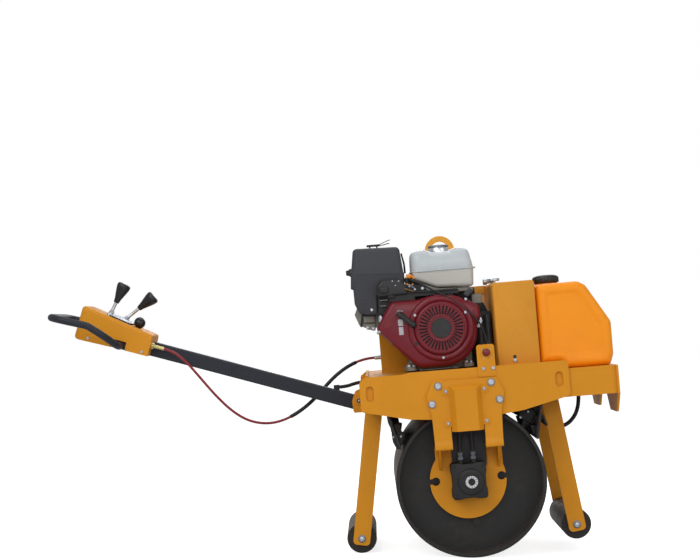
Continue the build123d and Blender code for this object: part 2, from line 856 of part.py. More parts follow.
def control_levers():
    """Two levers, each a rod in a low boss on the box's top."""
    solids = []
    for row in lever_rows:
        foot, grip, _ = lever_points(row)
        boss = on_box_top(row[0], row[1]) * extrude(Circle(13), 7)
        in_boss = foot + (grip - foot) * 0.12
        solids += (boss + bar(in_boss, grip, 5)).solids()
    return Compound(solids)


def lever_grips():
    """Grips that widen towards a rounded end."""
    solids = []
    for row in lever_rows:
        _, grip, tip = lever_points(row)
        length = (tip - grip).length
        profile = [
            (0, 0), (9, 0), (9.5, length * 0.12), (13, length * 0.45), (20.5, length * 0.84),
            (21.5, length * 0.92), (17, length - 1), (0, length),
        ]
        turned = revolve(Plane.XZ * make_face(Polyline(*profile, close=True)), Axis.Z)
        solids += (Plane(grip, z_dir=tip - grip) * turned).solids()
    return Compound(solids)


def throttle_knob():
    """Ball knob on a short stem."""
    return on_box_top(handle_length + 58, 40) * (extrude(Circle(7), 8) + Pos(0, 0, 20) * Sphere(17))


# ---- cords ----
cable_radius = 4.5
ferrule_w = 60
ferrule_v = 2
ferrule_length = 48
fitting_length = 22
fitting_z = deck_top + 55


def cable_ferrule():
    """Gland on the control box's front wall."""
    start = at_handle(handle_length, ferrule_w, ferrule_v)
    end = at_handle(handle_length - ferrule_length, ferrule_w, ferrule_v)
    nut = bar(start, at_handle(handle_length - 12, ferrule_w, ferrule_v), 11)
    return nut + bar(start, end, 5.8)


def cable_fitting():
    """Gland on the lifting post's rear face."""
    end = (post_rear - fitting_length, post_y, fitting_z)
    return bar((post_rear, post_y, fitting_z), end, 7.5)


def control_cable():
    """Hanging control cable from the handle's gland to the lifting post's."""
    points = [
        at_handle(handle_length - ferrule_length, ferrule_w, ferrule_v),
        at_handle(handle_length - ferrule_length - 32, ferrule_w, ferrule_v),
        (-938, -57, 466), (-896, -50, 408), (-850, -40, 344), (-798, -26, 284), (-744, -9, 244),
        (-686, 8, 228), (-630, 24, 232), (-571, 37, 256), (-512, 47, 297), (-464, 53, 345),
        (-424, 62, 380), (-374, 77, 410), (-318, post_y, fitting_z),
        (post_rear - fitting_length, post_y, fitting_z),
    ]
    return tube("control_cable", points, cable_radius)


def beam_conduit():
    """Short conduit over the handle's joint, from the beam's top to the crossmember."""
    y = (boss_y[0] + boss_y[1]) / 2
    points = [
        (boss_x, y, boss_z), (boss_x + 24, y, boss_z), (boss_x + 54, y + 1, boss_z + 8),
        (web_rear - 20, y, boss_z + 11), (web_rear, y, boss_z + 11),
    ]
    return tube("beam_conduit", points, 6.5)


def water_hose():
    """Hose from the shelf under the water tank, down and back to the spray valve."""
    points = [
        (406, -52, shelf_top - shelf_thick), (406, -52, 297), (408, -51, 240), (398, -49, 188),
        (370, -48, 152), (334, -49, 138), (297.8, -50, 144.4), hose_end,
    ]
    return tube("water_hose", points, 7)


def motor_hoses():
    """Hoses from the two drum motors up between the drum and the plates to the deck."""
    solids = []
    lane = plate_in - 21
    # columns: port x, port y, side, lean in x at the top
    for x, y, side, lean in (
        (drive_ports[0], port_y, -1, 8), (drive_ports[1], port_y, -1, -6),
        (vibration_ports[0], port_y - port_step, 1, 6),
        (vibration_ports[1], port_y - port_step, 1, -8),
    ):
        points = [
            (x, side * y, port_top), (x, side * y, port_top + 34),
            (x + 0.4 * lean, side * (y + 16), port_top + 76),
            (x + lean, side * (lane - 2), port_top + 122),
            (x + 0.9 * lean, side * lane, port_top + 178),
            (x + 1.2 * lean, side * (lane - 3), deck_low - 34),
            (x + 1.2 * lean, side * (lane - 3), deck_low),
        ]
        solids += tube("motor_hose", points, 6.5).solids()
    return Compound(solids)


def pump_hoses():
    """Two upright hoses from the deck, each with an elbow into the valve block's front."""
    y = shroud_back + 17
    solids = []
    for x, high in ((tank_rear - 43, deck_top + 152), (tank_rear - 17, deck_top + 176)):
        hose = bar((x, y, deck_top), (x, y, high), 9) + bar((x, y, high - 22), (x, y, high), 11)
        elbow = bar((x, y, high - 11), (x, shroud_back + 45, high - 11), 8)
        solids += (hose + elbow).solids()
    return Compound(solids)


def throttle_cable():
    """Thin cable from the control base, across the shroud and down to the deck."""
    # columns: from the crank axis forwards and up, and off the shroud's face
    rows = [
        (-89, 168, 3), (-61, 155, 8), (-25, 132, 9), (19, 108, 8), (61, 78, 9), (97, 46, 9),
        (129, 8, 8), (147, -42, 8), (149, -92, 8), (149, deck_top - crank[1], 8),
    ]
    points = [(crank[0] + a, shroud_face - off, crank[1] + b) for a, b, off in rows]
    return tube("throttle_cable", points, 3)


def all_pieces():
    """Each node's name and shape, still level."""
    plate = side_plate()
    return {
        "side_plate_right": plate,
        "side_plate_left": mirror(plate, Plane.XZ),
        "deck": deck(),
        "frame_cheeks": frame_cheeks(),
        "rear_crossmember": rear_crossmember(),
        "front_plate": front_plate(),
        "handle_bracket": handle_bracket(),
        "pivot_pin": pivot_pin(),
        "stand_legs": stand_legs(),
        "roller_axles": roller_axles(),
        "rear_roller": support_roller(rear_roller_at),
        "front_roller": support_roller(front_roller_at),
        "drum": drum(),
        "drum_axles": drum_axles(),
        "drum_forks": drum_forks(),
        "motor_mounts": motor_mounts(),
        "drive_motor": drive_motor(),
        "vibration_motor": vibration_motor(),
        "hose_guards": hose_guards(),
        "scrapers": scrapers(),
        "spray_bar": spray_bar(),
        "spray_valve": spray_valve(),
        "hydraulic_tank": hydraulic_tank(),
        "tank_breather": tank_breather(),
        "water_tank": water_tank(),
        "water_cap": water_cap(),
        "lifting_post": lifting_post(),
        "lifting_beam": lifting_beam(),
        "lifting_eye": lifting_eye(),
        "engine_mounts": engine_mounts(),
        "engine_block": engine_block(),
        "fan_shroud": fan_shroud(),
        "recoil_cover": recoil_cover(),
        "cylinder_head": cylinder_head(),
        "air_cleaner": air_cleaner(),
        "fuel_tank": fuel_tank(),
        "fuel_cap": fuel_cap(),
        "muffler": muffler(),
        "carburettor": carburettor(),
        "hydraulic_pump": hydraulic_pump(),
        "manifold": manifold(),
        "stop_switch_bracket": stop_switch_bracket(),
        "stop_button": stop_button(),
        "handle_beam": handle_beam(),
        "control_box": control_box(),
        "handle_loop": handle_loop(),
        "control_levers": control_levers(),
        "lever_grips": lever_grips(),
        "throttle_knob": throttle_knob(),
        "cable_ferrule": cable_ferrule(),
        "cable_fitting": cable_fitting(),
        "control_cable": control_cable(),
        "beam_conduit": beam_conduit(),
        "water_hose": water_hose(),
        "motor_hoses": motor_hoses(),
        "pump_hoses": pump_hoses(),
        "throttle_cable": throttle_cable(),
    }


# ---- parked: tipped back until drum and rear roller both touch the floor ----
below = atan2(-rear_roller_at[1], -rear_roller_at[0])
pitch = degrees(asin((drum_radius - roller_radius) / hypot(*rear_roller_at)) - below)
tip = Rot(0, -pitch, 0)
pieces = {name: tip * shape for name, shape in all_pieces().items()}
boxes = [shape.bounding_box() for shape in pieces.values()]
middle_x = (min(b.min.X for b in boxes) + max(b.max.X for b in boxes)) / 2
middle_y = (min(b.min.Y for b in boxes) + max(b.max.Y for b in boxes)) / 2
floor = min(b.min.Z for b in boxes)
print(f"pitch {pitch:.4f} degrees, shift {-middle_x:.3f} {-middle_y:.3f} {-floor:.3f}")
for label, at in (("drum", (0, 0)), ("rear", rear_roller_at), ("front", front_roller_at),
                  ("pivot", pivot), ("eye", eye_at)):
    spot = tip * Pos(at[0], 0, at[1])
    where = spot.position
    print(label, round(where.X - middle_x, 3), round(-middle_y, 3), round(where.Z - floor, 3))

os.makedirs("parts", exist_ok=True)
for name, shape in pieces.items():
    export_step(Pos(-middle_x, -middle_y, -floor) * shape, f"parts/{name}.step")
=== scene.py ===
"""Finishes, cords, fastenings and moulded pieces of a pedestrian single-drum vibratory roller."""
import json
from math import atan2, cos, pi, radians, sin

import bmesh
import bpy
import numpy as np
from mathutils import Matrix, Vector


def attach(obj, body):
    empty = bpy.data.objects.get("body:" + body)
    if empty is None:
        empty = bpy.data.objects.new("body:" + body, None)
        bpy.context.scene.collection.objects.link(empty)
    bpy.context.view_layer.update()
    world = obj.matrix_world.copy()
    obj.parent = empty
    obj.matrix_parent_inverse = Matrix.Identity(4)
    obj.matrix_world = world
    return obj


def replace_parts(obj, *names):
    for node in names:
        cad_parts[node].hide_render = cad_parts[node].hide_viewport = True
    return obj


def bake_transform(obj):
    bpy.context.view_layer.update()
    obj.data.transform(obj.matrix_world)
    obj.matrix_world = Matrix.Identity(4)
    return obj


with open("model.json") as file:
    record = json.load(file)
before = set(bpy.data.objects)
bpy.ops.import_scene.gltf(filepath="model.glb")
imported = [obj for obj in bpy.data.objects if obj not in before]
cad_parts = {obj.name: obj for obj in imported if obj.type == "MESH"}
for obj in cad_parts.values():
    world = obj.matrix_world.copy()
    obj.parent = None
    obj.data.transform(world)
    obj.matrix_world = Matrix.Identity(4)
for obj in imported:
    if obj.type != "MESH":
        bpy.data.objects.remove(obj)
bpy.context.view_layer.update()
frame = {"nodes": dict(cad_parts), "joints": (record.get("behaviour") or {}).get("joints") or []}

# ---- the level frame ----
# Pieces are drawn level, in millimetres from the middle of the drum's axis: X forward to the water
# tank, Y to the left and Z up. The parked machine is that drawing tipped back about the drum.
LEVEL_FALL = atan2(-9, 724)         # front support roller's axle below the rear one's, when level
HANDLE_RISE = radians(19.3)         # handle at rest


def joint_place(name):
    """Where a joint is at rest, in metres."""
    return np.array([j["pos_m"] for j in frame["joints"] if j["name"] == name][0])


DRUM = joint_place("drum_spin")
AXLES = joint_place("front_roller_spin") - joint_place("rear_roller_spin")
TIP = atan2(AXLES[2], AXLES[0]) - LEVEL_FALL
TURN = np.array([[cos(TIP), 0, -sin(TIP)], [0, 1, 0], [sin(TIP), 0, cos(TIP)]])
HANDLE_TURN = np.array([
    [-cos(HANDLE_RISE), 0, sin(HANDLE_RISE)], [0, -1, 0], [sin(HANDLE_RISE), 0, cos(HANDLE_RISE)]
])


def parked(points):
    """Level millimetres turned by the tip, in metres from the drum's axis as it stands."""
    return np.asarray(points, float) @ TURN.T / 1000 + DRUM


def level(points):
    """The inverse of parked()."""
    return (np.asarray(points, float) - DRUM) @ TURN * 1000


def level_box(node):
    """Lowest and highest corner of a CAD node in the level frame."""
    mesh = frame["nodes"][node].data
    flat = np.empty(3 * len(mesh.vertices), np.float32)
    mesh.vertices.foreach_get("co", flat)
    at = level(flat.reshape(-1, 3))
    return at.min(0), at.max(0)


PIVOT = level(joint_place("handle_hinge"))


def on_handle(points):
    """Points (u to the rear along the beam, w to the right, v up) from the handle's pivot."""
    return PIVOT + np.asarray(points, float) @ HANDLE_TURN


# ---- finishes ----
def shade(colour, factor=1.0):
    """Linear colour of a display colour from 0 to 255, made darker or lighter by a factor."""
    share = np.array(colour) / 255
    linear = np.where(share < 0.04045, share / 12.92, ((share + 0.055) / 1.055) ** 2.4)
    return (*(factor * linear), 1)


class Value:
    """A number in a shader. Arithmetic on it adds Math nodes."""

    def __init__(self, finish, socket):
        self.finish, self.socket = finish, socket

    def math(self, operation, first, second):
        """A Math node's result."""
        return self.finish.node("ShaderNodeMath", {"operation": operation}, {0: first, 1: second})

    def __add__(self, other):
        return self.math("ADD", self, other)

    def __rsub__(self, other):
        return self.math("SUBTRACT", other, self)

    def __mul__(self, other):
        return self.math("MULTIPLY", self, other)

    def __pow__(self, other):
        return self.math("POWER", self, other)

    __radd__, __rmul__ = __add__, __mul__

    def between(self, low, high):
        """0 at low, 1 at high and clamped outside."""
        return self.finish.node("ShaderNodeMapRange", {"clamp": True}, {0: self, 1: low, 2: high})


class Finish:
    """One material: a Principled shader and the nodes that vary it."""

    def __init__(self, name, **shader):
        self.material = bpy.data.materials.new(name)
        self.material.use_nodes = True
        self.tree = self.material.node_tree
        self.shader = self.tree.nodes["Principled BSDF"]
        self.set(**shader)

    def node(self, kind, settings=None, inputs=None, output=0):
        """Adds a node: its settings first, then each input's value or link. Returns an output."""
        made = self.tree.nodes.new(kind)
        for name, setting in (settings or {}).items():
            setattr(made, name, setting)
        for name, item in (inputs or {}).items():
            self.feed(made.inputs[name], item)
        return Value(self, made.outputs[output])

    def feed(self, socket, item):
        """Links a Value to a socket, or sets the socket to a number, colour or vector."""
        if isinstance(item, Value):
            self.tree.links.new(item.socket, socket)
        else:
            socket.default_value = item

    def set(self, **sockets):
        """Feeds the shader's sockets, named with _ for a space."""
        for name, item in sockets.items():
            self.feed(self.shader.inputs[name.replace("_", " ")], item)
        return self

    def place(self, stretch=(1, 1, 1)):
        """Object coordinates, in metres, stretched along each axis."""
        at = self.node("ShaderNodeTexCoord", output="Object")
        return self.node("ShaderNodeMapping", None, {"Vector": at, "Scale": stretch})

    def noise(self, scale, detail=2.0, rough=0.5, stretch=(1, 1, 1)):
        """Cloudy pattern from 0 to 1, with `scale` clouds to the metre."""
        return self.node("ShaderNodeTexNoise", None, {
            "Vector": self.place(stretch), "Scale": scale, "Detail": detail, "Roughness": rough,
        })

    def cells(self, scale):
        """Distance to the nearest of scattered points, `scale` of them to the metre."""
        return self.node("ShaderNodeTexVoronoi", None, {"Vector": self.place(), "Scale": scale})

    def rounded(self, radius):
        """Normal of the surface with its edges eased to a radius in millimetres."""
        return self.node("ShaderNodeBevel", {"samples": 4}, {"Radius": radius / 1000})

    def along_normal(self, direction):
        """How far the surface's true normal agrees with a direction: their dot product."""
        normal = self.node("ShaderNodeNewGeometry", output="Normal")
        return self.node(
            "ShaderNodeVectorMath", {"operation": "DOT_PRODUCT"}, {0: direction, 1: normal},
            output="Value",
        )

    def edges(self, radius):
        """1 on edges, falling to 0 a radius away: how far the eased normal leaves the true one."""
        return (1 - self.along_normal(self.rounded(radius))).between(0.02, 0.25)

    def films(self, tone, *films):
        """A colour under films, each given as its colour and the share of it that shows."""
        for colour, share in films:
            inputs = {0: share, 6: tone, 7: colour}
            tone = self.node("ShaderNodeMix", {"data_type": "RGBA"}, inputs, output=2)
        return tone

    def relief(self, height, depth, radius):
        """Normal of a surface raised by height times depth, with its edges eased to a radius, both
        in millimetres."""
        return self.node("ShaderNodeBump", None, {
            "Height": height, "Distance": depth / 1000, "Strength": 1.0,
            "Normal": self.rounded(radius),
        })


def paint(name, colour, gloss=0.36, peel=0.05, radius=1.2, shine=0.2):
    """Sprayed paint on steel: orange peel, faint clouds, thin film on edges and a little grime."""
    made = Finish(name, Specular_IOR_Level=shine, Coat_Weight=shine / 4, Coat_Roughness=0.2)
    clouds = made.noise(7, 3)
    fine = made.noise(420, 2)
    grime = (made.noise(34, 6, 0.7) * made.noise(5, 2)).between(0.27, 0.5)
    edge = made.edges(1.6) * made.noise(90, 4).between(0.35, 0.75)
    specks = made.noise(230, 5, 0.8).between(0.74, 0.78) * made.edges(2.4)
    tone = made.films(
        shade(colour, 0.93), (shade(colour, 1.06), clouds), (shade(colour, 0.62), grime * 0.16),
        (shade(colour, 1.25), edge * 0.45), (shade((70, 62, 52)), specks * 0.8),
    )
    return made.set(
        Base_Color=tone, Roughness=gloss + 0.14 * made.noise(60, 3) + 0.2 * grime,
        Normal=made.relief(fine + 1.6 * made.noise(75, 2), peel, radius),
    ).material


def bare_metal(name, colour, gloss, brush=(30, 1200, 30), grain=0.02, dull=0.35):
    """Plated or turned metal: fine lines across it, clouds in its gloss, dull spots, and painted
    shade that darkens its edges and creases.
    """
    made = Finish(name, Metallic=1.0)
    lines = made.noise(1, 3, 0.6, brush)
    spots = made.noise(160, 4, 0.7).between(0.5, 0.7)
    tone = made.films(
        shade(colour, 0.85), (shade(colour, 1.1), lines),
        # edges and creases darkened: painted shade that outlines bolt heads against their washers
        (shade(colour, 0.3), made.edges(0.9) * 0.6), (shade(colour, 0.5), spots * dull),
    )
    return made.set(
        Base_Color=tone, Roughness=gloss + 0.18 * lines + 0.2 * spots,
        Normal=made.relief(lines, grain, 0.7),
    ).material


def cast_metal(name, colour, gloss=0.5, metal=0.6):
    """Sand-cast alloy: coarse grain, oxide clouds and dark pits."""
    made = Finish(name, Metallic=metal)
    grains = made.cells(420)
    clouds = made.noise(26, 5, 0.65)
    pits = (1 - grains).between(0.75, 0.95)
    tone = made.films(
        shade(colour, 0.72), (shade(colour, 1.2), clouds), (shade(colour, 0.4), pits * 0.5)
    )
    return made.set(
        Base_Color=tone, Roughness=gloss + 0.25 * clouds,
        Normal=made.relief(grains + clouds, 0.12, 1.4),
    ).material


def moulded(name, colour, gloss, grain=0.06, scale=650, radius=1.5, **shader):
    """Moulded plastic or rubber: a fine leather grain, and slow clouds in colour and gloss."""
    made = Finish(name, **shader)
    grains = made.cells(scale)
    clouds = made.noise(9, 3)
    dust = made.noise(48, 6, 0.7).between(0.45, 0.8)
    tone = made.films(
        shade(colour, 0.92), (shade(colour, 1.08), clouds), (shade((150, 145, 135)), dust * 0.035)
    )
    return made.set(
        Base_Color=tone, Roughness=gloss + 0.12 * clouds + 0.12 * dust,
        Normal=made.relief(grains + 0.5 * clouds, grain, radius),
    ).material


def black_steel(name, colour, gloss, tread=None):
    """Thin black paint on rolled steel, with mill streaks, rubbed edges and road dust. A tread
    colour shows on faces that look away from the axle, where rolling has worn the paint off."""
    made = Finish(name, Specular_IOR_Level=0.3, Coat_Weight=0.1, Coat_Roughness=0.25)
    streaks = made.noise(1, 4, 0.6, (14, 160, 14))
    dust = (made.noise(40, 6, 0.7) * made.noise(6, 2)).between(0.26, 0.5)
    rubbed = made.edges(2.2) * made.noise(70, 5, 0.7).between(0.4, 0.7)
    tone = made.films(
        shade(colour, 0.8), (shade(colour, 1.25), streaks), (shade((120, 110, 95)), dust * 0.12),
        (shade((130, 126, 120)), rubbed * 0.5),
    )
    if tread:
        rolling = (1 - made.along_normal((0, 1, 0)) ** 2).between(0.7, 0.95)
        bare = rolling * made.noise(11, 5, 0.65).between(0.3, 0.6)
        tone = made.films(tone, (shade(tread), bare * 0.8))
    return made.set(
        Base_Color=tone, Roughness=gloss + 0.16 * streaks + 0.25 * dust, Metallic=0.5 * rubbed,
        Normal=made.relief(streaks + made.noise(300, 2), 0.05, 1.4),
    ).material


# each finish: its material, the record's slot, and the CAD nodes that keep their shape and wear it
FINISHES = {
    "yellow": (
        paint("chassis_paint", (216, 143, 27)), "chassis_paint",
        "side_plate_right side_plate_left deck frame_cheeks rear_crossmember front_plate "
        "handle_bracket stand_legs drum_forks motor_mounts hose_guards lifting_post "
        "stop_switch_bracket",
    ),
    "tank_yellow": (
        paint("tank_paint", (218, 149, 54), gloss=0.62, radius=2.5, shine=0.1),
        "chassis_paint", "",
    ),
    # a lighter copy of the chassis paint: painted light on the lifting beam and eye, which sit in
    # shade behind the fuel tank
    "lightened_yellow": (
        paint("lift_paint_painted_light", (250, 178, 62)), "chassis_paint", "lifting_beam lifting_eye"
    ),
    "handle": (
        paint("handle_paint", (38, 41, 50), gloss=0.42, shine=0.3), "handle_paint",
        "handle_beam handle_loop",
    ),
    "drum": (
        black_steel("drum_black", (39, 38, 38), 0.34, (88, 78, 72)), "dark_steel",
        "drum scrapers",
    ),
    "roller": (
        black_steel("roller_black", (44, 41, 40), 0.4, (122, 110, 100)), "dark_steel",
        "rear_roller front_roller",
    ),
    "black_steel": (
        black_steel("fitting_black", (34, 34, 34), 0.38), "dark_steel",
        "vibration_motor hydraulic_pump carburettor",
    ),
    "valve_block": (black_steel("valve_block_grey", (62, 68, 76), 0.36), "dark_steel", "manifold"),
    "zinc": (
        bare_metal("zinc_plate", (206, 212, 220), 0.27), "zinc",
        "pivot_pin drum_axles spray_bar cable_fitting",
    ),
    "yellow_zinc": (bare_metal("yellow_zinc_plate", (214, 200, 138), 0.3), "zinc", "cable_ferrule"),
    # duller, darker plating; on the washers under bolt heads its darkness is partly painted shade,
    # the dark ring round each head
    "washer": (bare_metal("washer_plate", (128, 134, 144), 0.34), "zinc", ""),
    "chrome": (
        bare_metal("chrome_plate", (226, 228, 232), 0.14, (20, 20, 20), 0.0, 0.04), "zinc", ""
    ),
    "brass": (bare_metal("brass_plate", (190, 140, 60), 0.25), "zinc", ""),
    "casting": (
        cast_metal("engine_casting", (140, 137, 128)), "engine_casting",
        "engine_block cylinder_head",
    ),
    "dark_casting": (
        cast_metal("dark_casting", (46, 47, 47), 0.55, metal=0.3), "engine_casting", ""
    ),
    "scorched": (
        cast_metal("muffler_steel", (92, 84, 76), 0.6, metal=0.8), "dark_steel", "muffler"
    ),
    "shroud": (
        paint("shroud_red", (113, 24, 36), 0.24, 0.03, 1.8, 0.32), "shroud_red", "recoil_cover"
    ),
    "fuel_upper": (
        paint("fuel_tank_enamel", (192, 199, 202), 0.2, 0.02, 2, 0.3), "fuel_tank_grey", ""
    ),
    # the lower half wears a warmer, darker copy of the upper half's enamel: painted shade and
    # orange bounce light from the frame below
    "fuel_lower": (
        paint("fuel_tank_underside", (189, 187, 180), 0.26, 0.02, 2, 0.3), "fuel_tank_grey", ""
    ),
    "cleaner": (moulded("cleaner_plastic", (54, 55, 62), 0.5, 0.08), "black_plastic", ""),
    "cleaner_base": (
        moulded("cleaner_base_plastic", (47, 48, 54), 0.52, 0.08), "black_plastic", ""
    ),
    "plastic": (moulded("black_plastic", (30, 30, 33), 0.42), "black_plastic", "spray_valve"),
    "rubber": (
        moulded("black_rubber", (24, 24, 25), 0.5, 0.05), "rubber",
        "engine_mounts motor_hoses throttle_cable",
    ),
    "hose": (moulded("hose_grey", (66, 72, 80), 0.36), "rubber", "pump_hoses"),
    "ball": (moulded("ball_plastic", (20, 20, 22), 0.12, 0.004), "rubber", ""),
    "grip": (moulded("grip_plastic", (26, 26, 28), 0.28, 0.02), "rubber", ""),
    "water": (
        moulded(
            "water_tank_plastic", (255, 154, 12), 0.34, 0.1, 260, 3.0, Subsurface_Weight=0.1,
            Subsurface_Scale=0.01, Specular_IOR_Level=0.3,
        ),
        "tank_plastic", "",
    ),
    "amber": (moulded("fuel_hose_amber", (226, 140, 36), 0.3, 0.02), "rubber", ""),
    "button": (moulded("button_red", (120, 18, 30), 0.25, 0.02), "button_red", ""),
    "cable": (moulded("cable_red", (140, 30, 40), 0.4, 0.03), "cable_red", ""),
    "label": (moulded("label_white", (180, 178, 184), 0.4, 0.02), "fuel_tank_grey", ""),
}


def finish_nodes():
    """Gives the CAD nodes that keep their shape their materials."""
    for material, _, nodes in FINISHES.values():
        for name in nodes.split():
            materials = frame["nodes"][name].data.materials
            materials.clear()
            materials.append(material)


# ---- surfaces: each gives points (n, 3) in level millimetres, and faces ----
def unit(vectors):
    """Vectors made one long."""
    vectors = np.asarray(vectors, float)
    return vectors / np.maximum(np.linalg.norm(vectors, axis=-1, keepdims=True), 1e-9)


def along(path):
    """Length of a path up to each of its points."""
    return np.append(0, np.cumsum(np.linalg.norm(np.diff(path, axis=0), axis=1)))


def spaced(path, at, where):
    """A path that is known at some lengths, read at others."""
    return np.column_stack([np.interp(where, at, column) for column in path.T])


def skin(rings, loop=False):
    """A grid of points, ring by ring: quads join each ring to the next, and a face closes each end,
    or the last ring joins the first."""
    rings = np.asarray(rings, float)
    index = np.arange(rings.shape[0] * rings.shape[1]).reshape(rings.shape[:2])
    if loop:
        index = np.vstack([index, index[:1]])
    low, high = index[:-1], index[1:]
    quads = np.stack([low, np.roll(low, -1, 1), np.roll(high, -1, 1), high], -1).reshape(-1, 4)
    faces = quads.tolist()
    if not loop:
        faces += [index[0, ::-1].tolist(), index[-1].tolist()]
    return rings.reshape(-1, 3), faces


def joined(*parts):
    """Several surfaces as one."""
    starts = np.cumsum([0] + [len(points) for points, _ in parts])
    faces = []
    for (_, part_faces), start in zip(parts, starts):
        faces += [[corner + start for corner in face] for face in part_faces]
    return np.concatenate([points for points, _ in parts]), faces


def both_sides(part):
    """The surface and its mirror image across the machine's middle plane."""
    points, faces = part
    return joined(part, (points * (1, -1, 1), [face[::-1] for face in faces]))


def square_to(axis):
    """Two unit vectors square to an axis and to each other."""
    axis = unit(axis)
    first = unit(np.cross(axis, (0, 0, 1) if abs(axis[2]) < 0.9 else (1, 0, 0)))
    return first, np.cross(axis, first)


def turned(at, axis, rows, steps, flutes=0, depth=0.0, loop=False):
    """Lathe form. Rows give distance along the axis and radius r; the rim is at angle t with
    radius r less depth times the square wave of flutes times t."""
    axis = unit(axis)
    first, second = square_to(axis)
    height, radius = np.array(rows, float).T
    turn = np.linspace(0, 2 * pi, steps, endpoint=False)
    cut = 1 - depth * (np.sin(flutes * turn) > 0) if flutes else np.ones(steps)
    rim = cut[:, None] * (np.cos(turn)[:, None] * first + np.sin(turn)[:, None] * second)
    rings = np.array(at, float) + height[:, None, None] * axis + radius[:, None, None] * rim
    return skin(rings, loop=loop)


def swept(path, radius, steps=14):
    """Round tube along a path. Its circles stand square to the path, and start from the direction
    in which the path's tangents vary least."""
    path = np.asarray(path, float)
    tangent = unit(np.gradient(path, axis=0))
    steady = np.linalg.eigh(np.cov(tangent.T) + 1e-9 * np.diag((1, 2, 3)))[1][:, 0]
    side = unit(np.cross(tangent, steady))
    up = np.cross(tangent, side)
    turn = np.linspace(0, 2 * pi, steps, endpoint=False)[:, None]
    radius = np.broadcast_to(radius, len(path))[:, None, None]
    rim = np.cos(turn) * side[:, None] + np.sin(turn) * up[:, None]
    return skin(path[:, None] + radius * rim)


LEAST_RADIUS = 0.3      # of an outline's corner, in millimetres
ARC_POINTS = 7          # of each corner


def shrunk(rows, inset):
    """Outline rows (across, up, corner radius) moved inwards: each corner goes along its bisector,
    and its radius shrinks on an outer corner and grows on an inner one."""
    rows = np.array(rows, float)
    corner = rows[:, :2]
    ahead = unit(np.roll(corner, -1, 0) - corner)
    before = np.roll(ahead, 1, 0)
    following = np.roll(corner, -1, 0)
    way = np.sign(np.sum(corner[:, 0] * following[:, 1] - corner[:, 1] * following[:, 0]))
    normal = way * np.stack([-ahead[:, 1], ahead[:, 0]], 1)
    other = np.roll(normal, 1, 0)
    shift = (normal + other) / (1 + (normal * other).sum(1, keepdims=True))
    bend = way * (before[:, 0] * ahead[:, 1] - before[:, 1] * ahead[:, 0])
    radius = np.maximum(rows[:, 2] - inset * np.sign(bend), LEAST_RADIUS)
    return np.column_stack([corner + inset * shift, radius])


def contour(rows):
    """Closed outline: each corner becomes an arc of its radius that touches both its sides."""
    rows = np.array(rows, float)
    corner, radius = rows[:, :2], np.maximum(rows[:, 2:], LEAST_RADIUS)
    back = unit(np.roll(corner, 1, 0) - corner)
    ahead = unit(np.roll(corner, -1, 0) - corner)
    half = np.arccos(np.clip((back * ahead).sum(1, keepdims=True), -1, 1)) / 2
    middle = corner + unit(back + ahead) * radius / np.sin(half)
    start = corner + back * radius / np.tan(half) - middle
    end = corner + ahead * radius / np.tan(half) - middle
    sweep = np.maximum(pi - 2 * half, 1e-3)[:, None]
    share = np.linspace(0, 1, ARC_POINTS)[:, None]
    arc = np.sin((1 - share) * sweep) * start[:, None] + np.sin(share * sweep) * end[:, None]
    return (middle[:, None] + arc / np.sin(sweep)).reshape(-1, 2)


SIDE, TOP, END = (0, 2, 1), (0, 1, 2), (1, 2, 0)        # axes of across, up and height


def stacked(levels, plane=SIDE):
    """Outlines laid over each other: each level is (rows, height off the plane)."""
    rings = np.empty((len(levels), len(levels[0][0]) * ARC_POINTS, 3))
    for ring, (rows, height) in zip(rings, levels):
        ring[:, plane[:2]] = contour(rows)
        ring[:, plane[2]] = height
    return skin(rings)


def drawn_in(rows, levels, plane=SIDE):
    """An outline carried through levels of (inset, height), moved inwards by each inset."""
    return stacked([(shrunk(rows, inset), height) for inset, height in levels], plane)


def quarter(height, radius, inset=0.0, steps=5):
    """(inset, height) pairs of a rounded edge that ends on a flat face at the height. A negative
    radius gives an edge whose face looks the other way."""
    turn = np.linspace(0, pi / 2, steps)
    reach = abs(radius)
    return [(inset + reach * (1 - cos(t)), height - radius * (1 - sin(t))) for t in turn]


def pad(rows, low, high, edge, plane=SIDE, base=0.0):
    """Plate or block between two heights, with rounded edges on its high face, or on both."""
    way = 1 if high > low else -1
    levels = quarter(low, -way * base)[::-1] if base else [(0, low)]
    return drawn_in(rows, levels + quarter(high, way * edge), plane)


def frame_rows(across, up, radius):
    """Outline rows of a rectangle between two values each way."""
    return [(across[i], up[j], radius) for i, j in ((0, 0), (1, 0), (1, 1), (0, 1))]


def stamped(template, places, axis, sizes, spin=0.7):
    """Copies of a surface drawn along Z, each turned a little further about the axis."""
    points, faces = template
    places = np.atleast_2d(np.asarray(places, float))
    first, second = square_to(axis)
    count = len(places)
    turn = spin * np.arange(count)[:, None]
    one = np.cos(turn) * first + np.sin(turn) * second
    two = np.cos(turn) * second - np.sin(turn) * first
    basis = np.stack([one, two, np.broadcast_to(unit(axis), one.shape)], 1)
    sizes = np.broadcast_to(sizes, count)[:, None, None]
    copies = places[:, None] + sizes * (points @ basis)
    shift = np.arange(count) * len(points)
    return copies.reshape(-1, 3), [[v + s for v in face] for s in shift for face in faces]


def moved(part, turn, by):
    """A surface turned about the origin by a 3 by 3 matrix, then shifted."""
    points, faces = part
    return points @ np.array(turn).T + by, faces


